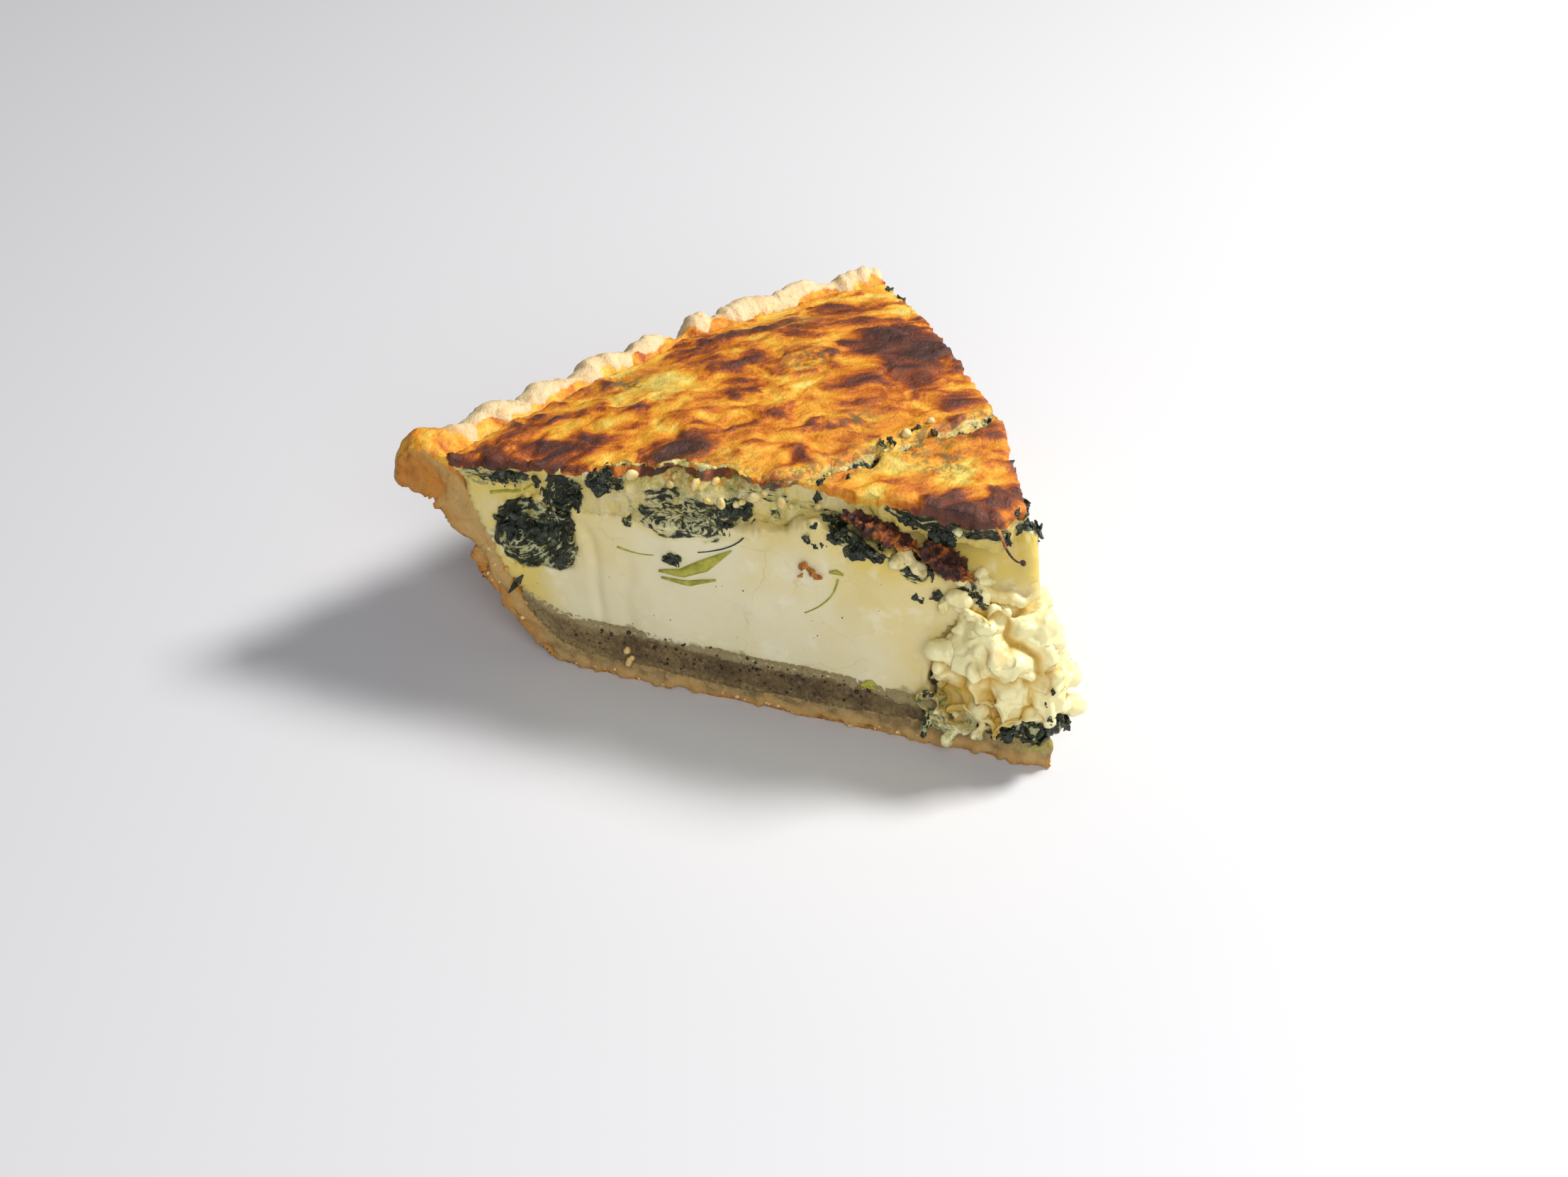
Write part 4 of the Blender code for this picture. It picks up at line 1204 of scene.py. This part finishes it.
class QUICHE_OT_leaves(bpy.types.Operator):
    """Scraps of cooked spinach at the cuts, in the crack and under the tip"""
    bl_idname = "quiche.leaves"
    bl_label = "Leaf scraps"

    def execute(self, context):
        s = Surface(["crust", "peppered", "custard", "top", "curds", "leaf_wad_side", "leaf_wad_tip"])

        def a(*shape, **extra):
            return ellipse_on(s, RUN_A, IN_A, *shape, **extra)

        def b(*shape, **extra):
            return ellipse_on(s, RUN_B, IN_B, *shape, **extra)
        down = (0.55, 0.35, -0.75)
        flat = 0.25
        jobs = [
            (14, a(101, 31, 8, 5, tilt_deg=-42), 2.4, 5.0, flat), (7, a(95, 39.5, 3.5, 4), 2.0, 4.0, flat),
            (7, a(63, 42, 4, 3, tilt_deg=-20), 1.8, 3.6, flat), (3, a(73.5, 30.5, 1.0, 1.0), 2.2, 3.2, flat),
            (10, a(106, 41, 7, 1.6), 1.4, 3.0, flat), (7, a(86, 44, 3.5, 1.8), 1.6, 3.4, flat),
            (12, a(40, 41.6, 7, 1.8, tilt_deg=18), 1.8, 3.8, 0.3),
            (6, a(29, 38.3, 5, 0.8, tilt_deg=32), 1.4, 2.8, 0.3),
            (6, a(17.5, 34.4, 3, 0.6, tilt_deg=22), 1.4, 2.8, 0.3),
            (28, from_view(s, -13, 22, 45.5, (9, 7, 2.4), down, 47.6), 1.6, 3.6, 0.3),
            (8, from_view(s, -24, 42, 46, (6, 6, 2), down, 47.4), 1.4, 3.0, 0.35),
            (20, from_view(s, -4, 43, 50, (15, 2.0, 1), (0, 0, -1)), 1.0, 2.2, 0.3),
            (16, a(6.5, 8.6, 6.5, 1.8), 2.0, 4.0, 0.3), (12, b(6.5, 9.0, 7.0, 2.0), 2.0, 4.0, 0.3),
            (7, a(24, 10, 1.6, 5), 1.0, 2.4, 0.3), (5, a(1.0, 14, 2.0, 6), 1.0, 2.0, 0.3),
            (5, b(12, 47, 4, 1.6), 1.4, 2.8, 0.3), (5, a(11, 48.6, 2.5, 1.4), 1.4, 2.6, 0.3),
            (26, b(85, 40.5, 22, 3.2), 1.6, 4.0, 0.3), (26, b(45, 42.5, 22, 3.0), 1.6, 4.0, 0.3),
            (14, b(99, 32, 6, 4, tilt_deg=-40), 2.0, 4.6, flat), (10, b(18, 45, 8, 2.6), 1.6, 3.4, 0.3),
        ]
        obj = scatter_leaves("leaf_scraps", jobs, 0.22, 7)
        leaf = spinach_material()
        finish_piece(obj, leaf, "spinach")
        PIECES["leaves"] = obj
        finish_piece(blade("leaf_by_wall", s, [(103.0, 19.5), (104.3, 17.5), (106.0, 14.8)], (0.3, 1.5, 0.3)),
                     leaf, "spinach")
        return {"FINISHED"}


class QUICHE_OT_grains(bpy.types.Operator):
    """Pepper, cheese crumbs and pastry crumbs"""
    bl_idname = "quiche.grains"
    bl_label = "Grains and crumbs"

    def execute(self, context):
        s = Surface(["crust", "peppered", "custard", "top", "curds"])

        def a(*shape, **extra):
            return ellipse_on(s, RUN_A, IN_A, *shape, **extra)

        def b(*shape, **extra):
            return ellipse_on(s, RUN_B, IN_B, *shape, **extra)
        pepper = scatter_lumps("pepper_specks", [
            (70, a(60, 7.5, 38, 3.0), 0.12, 0.36), (24, a(62, 9.8, 34, 1.8), 0.2, 0.45),
            (12, a(66, 20, 30, 9), 0.08, 0.16), (70, b(60, 7.5, 38, 3.0), 0.12, 0.36)], 12)
        finish_piece(pepper, pepper_material(), "peppered")
        cheese = scatter_lumps("cheese_crumbs", [
            (16, a(64, 45.6, 18, 1.8), 0.5, 1.3),
            (5, from_view(s, -4, 43, 50, (15, 1.8, 1), (0, 0, -1)), 0.5, 1.1),
            (30, b(55, 44.4, 42, 2.2), 0.4, 1.0)], 15, level=2)
        finish_piece(cheese, cheese_material(), "custard")
        crumbs = scatter_lumps("pastry_crumbs", [
            (40, a(110, 15, 9, 12, tilt_deg=50), 0.2, 0.6), (26, a(60, 1.1, 44, 0.7), 0.25, 0.6),
            (4, a(82.5, 5.4, 1.2, 2.0), 0.7, 1.2), (50, b(60, 1.3, 44, 1.0), 0.2, 0.6),
            (40, b(112, 15, 9, 12, tilt_deg=50), 0.2, 0.6)], 18)
        finish_piece(crumbs, crumb_material(), "pastry")
        return {"FINISHED"}


class QUICHE_OT_trimmings(bpy.types.Operator):
    """Olive leaves and stems, custard lobes, the orange flake and the burnt tendril"""
    bl_idname = "quiche.trimmings"
    bl_label = "Trimmings"

    def execute(self, context):
        s = Surface(["custard", "top", "curds"])
        stem = stem_material()

        def line(name, spots, thick, tail, finish, slot):
            points = []
            for run, height in spots:
                place, normal = on_face(s, RUN_A, IN_A, run, height)
                points.append(place + normal * 0.02)
            finish_piece(thread(name, points, thick, tail), finish, slot)

        line("stem_curve", [(42, 33), (42.5, 30), (44, 27.5), (46, 25.3), (48, 24)], 0.2, 0.6,
             stem, "spinach")
        line("stem_high", [(109, 36.5), (106, 37.8), (103, 38.2), (100.5, 40)], 0.35, 0.5, stem, "spinach")
        line("stem_long", [(84, 30.6), (80, 29.6), (77, 30.2)], 0.22, 0.4, stem, "spinach")
        line("leaf_vein", [(58.5, 41), (59.5, 38), (62, 35.4), (65.5, 33.6), (68.5, 32.8)], 0.16, 0.8,
             spinach_material(), "spinach")
        blades = (("olive_leaf", [(76, 27.0), (71.5, 27.6), (67.5, 30), (62.2, 34.4)], (0.4, 1.8, 2.6, 0.3)),
                  ("olive_leaf_low", [(75.5, 25.6), (70, 25.6), (65, 27.4)], (0.3, 1.1, 0.3)),
                  ("olive_scrap", [(43.6, 34.4), (42.4, 34.7), (41, 34.2)], (0.3, 0.9, 0.3)),
                  ("olive_bit", [(36.8, 10.2), (35.2, 10.8), (33.8, 10.2)], (0.6, 2.0, 0.6)))
        deep = Surface(["custard", "peppered", "crust", "top"])
        for name, spots, widths in blades:
            finish_piece(blade(name, deep, spots, widths), stem, "spinach")
        lobes = bmesh.new()
        pick = random.Random(21)
        reach = from_view(s, -13, 20, 46, (9, 9, 3), (0.55, 0.35, -0.75), 47.6)
        for index in range(18):
            spot = reach(pick)
            if spot is not None:
                size = [pick.uniform(1.4, 3.0), pick.uniform(0.9, 1.8), pick.uniform(0.8, 1.5)]
                lump(lobes, spot[0], size, 500 + index)
        obj = remesh(from_bmesh("custard_lobes", lobes), 0.3, 3)
        co, normal = read_points(obj.data)
        write_points(obj.data, co + normal * (fractal(co, 2.2, 3, 92) * 0.5)[:, None])
        # A random darker-yellow tone on the lobes, carried by the curds' painted-shade number.
        store(obj.data, "deep", np.clip(0.15 + 0.4 * fractal(co, 3.0, 2, 93), 0, 1))
        store(obj.data, "green", np.clip(0.5 * fractal(co, 4.0, 2, 94), 0, 1))
        finish_piece(obj, PIECES["curds"].data.materials[0], "custard")
        char = PIECES["crisp_strip_upper"].data.materials[0]
        path = [(-4.6, 15.0, 49.6), (-4.9, 12.8, 48.6), (-5.3, 11.2, 46.6), (-4.9, 9.7, 44.8),
                (-3.8, 8.8, 43.6), (-3.1, 8.6, 43.7)]
        tendril = thread("burnt_tendril", path, 0.3, 0.5)
        height = read_points(tendril.data)[0][:, 2]
        store(tendril.data, "edge", 0.9 * step(45.5, 48.5, height))
        finish_piece(tendril, char, "charred")
        drop = bmesh.new()
        lump(drop, (-3.1, 8.6, 43.5), (0.55, 0.5, 0.65), 9)
        drop = from_bmesh("burnt_drop", drop)
        store(drop.data, "edge", np.zeros(len(drop.data.vertices)))
        finish_piece(drop, char, "charred")
        spot, normal = on_face(s, RUN_A, IN_A, 47.2, 34.0)
        shape = bmesh.new()
        for shift, size in (((0.9, 0.9), 1.5), ((0, 0), 1.8), ((-1.2, -0.9), 1.3), ((1.9, -1.6), 0.9)):
            place = spot + Vector(RUN_A) * shift[0] + Vector(UP) * shift[1] + normal * 0.2
            lump(shape, place, (size, size * 0.4, size * 0.45), int(size * 10))
        obj = remesh(from_bmesh("orange_flake", shape), 0.2, 1)
        co, normal = read_points(obj.data)
        write_points(obj.data, co + normal * ((ridge(co, 1.4, 2, 91) - 0.5) * 0.9)[:, None])
        store(obj.data, "edge", np.full(len(obj.data.vertices), 0.82))
        finish_piece(obj, char, "charred")
        return {"FINISHED"}


FLOOR_GREY = tint(226, 226, 229)
FLOOR_HALF_M = 3.0
LAMP_AIM = (0, 0, 0.03)               # the lamps point at the middle of the slice
VIEW_TURN, VIEW_HEIGHT, VIEW_ROLL = -44.877, 36.253, 1.593  # degrees


class QUICHE_OT_stage(bpy.types.Operator):
    """Pale floor, soft studio lamps and the camera"""
    bl_idname = "quiche.stage"
    bl_label = "Stage"

    def execute(self, context):
        scene = context.scene
        options = scene.quiche_stage
        scene.view_settings.view_transform = "Standard"
        shape = bmesh.new()
        bmesh.ops.create_grid(shape, x_segments=1, y_segments=1, size=FLOOR_HALF_M)
        floor = from_bmesh("floor", shape)
        g = Graph("floor")
        g.out(FLOOR_GREY, 0.5)
        floor.data.materials.append(g.material)

        def lamp(name, place, power, size, colour):
            data = bpy.data.lights.new(name, "AREA")
            data.energy = power
            data.size = size
            data.color = colour
            obj = bpy.data.objects.new(name, data)
            scene.collection.objects.link(obj)
            obj.location = place
            obj.rotation_euler = (Vector(LAMP_AIM) - Vector(place)).to_track_quat("-Z", "Y").to_euler()
        lamp("key", (0.53, -0.23, 0.69), options.key, 0.22, (1.0, 0.98, 0.95))
        lamp("fill", (-0.51, -0.65, 0.57), options.fill, 0.6, (0.97, 0.98, 1.0))
        world = bpy.data.worlds.new("studio")
        scene.world = world
        world.use_nodes = True
        background = world.node_tree.nodes["Background"]
        background.inputs["Color"].default_value = (0.93, 0.95, 1.0, 1.0)
        background.inputs["Strength"].default_value = 0.15
        seen = world.node_tree.nodes.new("ShaderNodeBackground")
        seen.inputs["Color"].default_value = (0.86, 0.87, 0.89, 1.0)
        sight = world.node_tree.nodes.new("ShaderNodeLightPath")
        choice = world.node_tree.nodes.new("ShaderNodeMixShader")
        links = world.node_tree.links
        links.new(sight.outputs["Is Camera Ray"], choice.inputs["Fac"])
        links.new(background.outputs["Background"], choice.inputs[1])
        links.new(seen.outputs["Background"], choice.inputs[2])
        links.new(choice.outputs["Shader"], world.node_tree.nodes["World Output"].inputs["Surface"])
        camera = bpy.data.cameras.new("camera")
        camera.lens = options.lens
        camera.sensor_width = 36.0
        camera.sensor_fit = "HORIZONTAL"
        camera.clip_start = 0.01
        obj = bpy.data.objects.new("camera", camera)
        scene.collection.objects.link(obj)
        azimuth, height, roll = (math.radians(angle) for angle in (VIEW_TURN, VIEW_HEIGHT, VIEW_ROLL))
        right = Vector((math.cos(azimuth), math.sin(azimuth), 0))
        back = Vector((math.sin(azimuth) * math.cos(height), -math.cos(azimuth) * math.cos(height),
                       math.sin(height)))
        up = back.cross(right)
        tilted = right * math.cos(roll) + up * math.sin(roll)
        rise = up * math.cos(roll) - right * math.sin(roll)
        turn = Matrix((tilted, rise, back)).transposed().to_4x4()
        obj.matrix_world = Matrix.Translation(Vector((-0.307698, -0.238321, 0.322483)) + Vector(TIP)) @ turn
        scene.camera = obj
        return {"FINISHED"}


OPERATORS = [QUICHE_OT_crust, QUICHE_OT_filling, QUICHE_OT_top, QUICHE_OT_tip, QUICHE_OT_clumps,
             QUICHE_OT_leaves, QUICHE_OT_grains, QUICHE_OT_trimmings, QUICHE_OT_stage]


class QUICHE_PT_panel(bpy.types.Panel):
    """Settings and steps of the quiche slice"""
    bl_label = "Quiche slice"
    bl_idname = "QUICHE_PT_panel"
    bl_space_type = "VIEW_3D"
    bl_region_type = "UI"
    bl_category = "Quiche"

    def draw(self, context):
        for kind in OPERATORS:
            self.layout.operator(kind.bl_idname)
        for name, group in SETTINGS.items():
            box = self.layout.box()
            for setting in group.__annotations__:
                box.prop(getattr(context.scene, name), setting)


def register():
    for name, group in SETTINGS.items():
        bpy.utils.register_class(group)
        setattr(bpy.types.Scene, name, PointerProperty(type=group))
    for kind in OPERATORS + [QUICHE_PT_panel]:
        bpy.utils.register_class(kind)


def unregister():
    for kind in reversed(OPERATORS + [QUICHE_PT_panel]):
        bpy.utils.unregister_class(kind)
    for name, group in SETTINGS.items():
        delattr(bpy.types.Scene, name)
        bpy.utils.unregister_class(group)


def main():
    register()
    for step_name in ("crust", "filling", "top", "tip", "clumps", "leaves", "grains", "trimmings", "stage"):
        getattr(bpy.ops.quiche, step_name)()


if __name__ == "__main__":
    main()
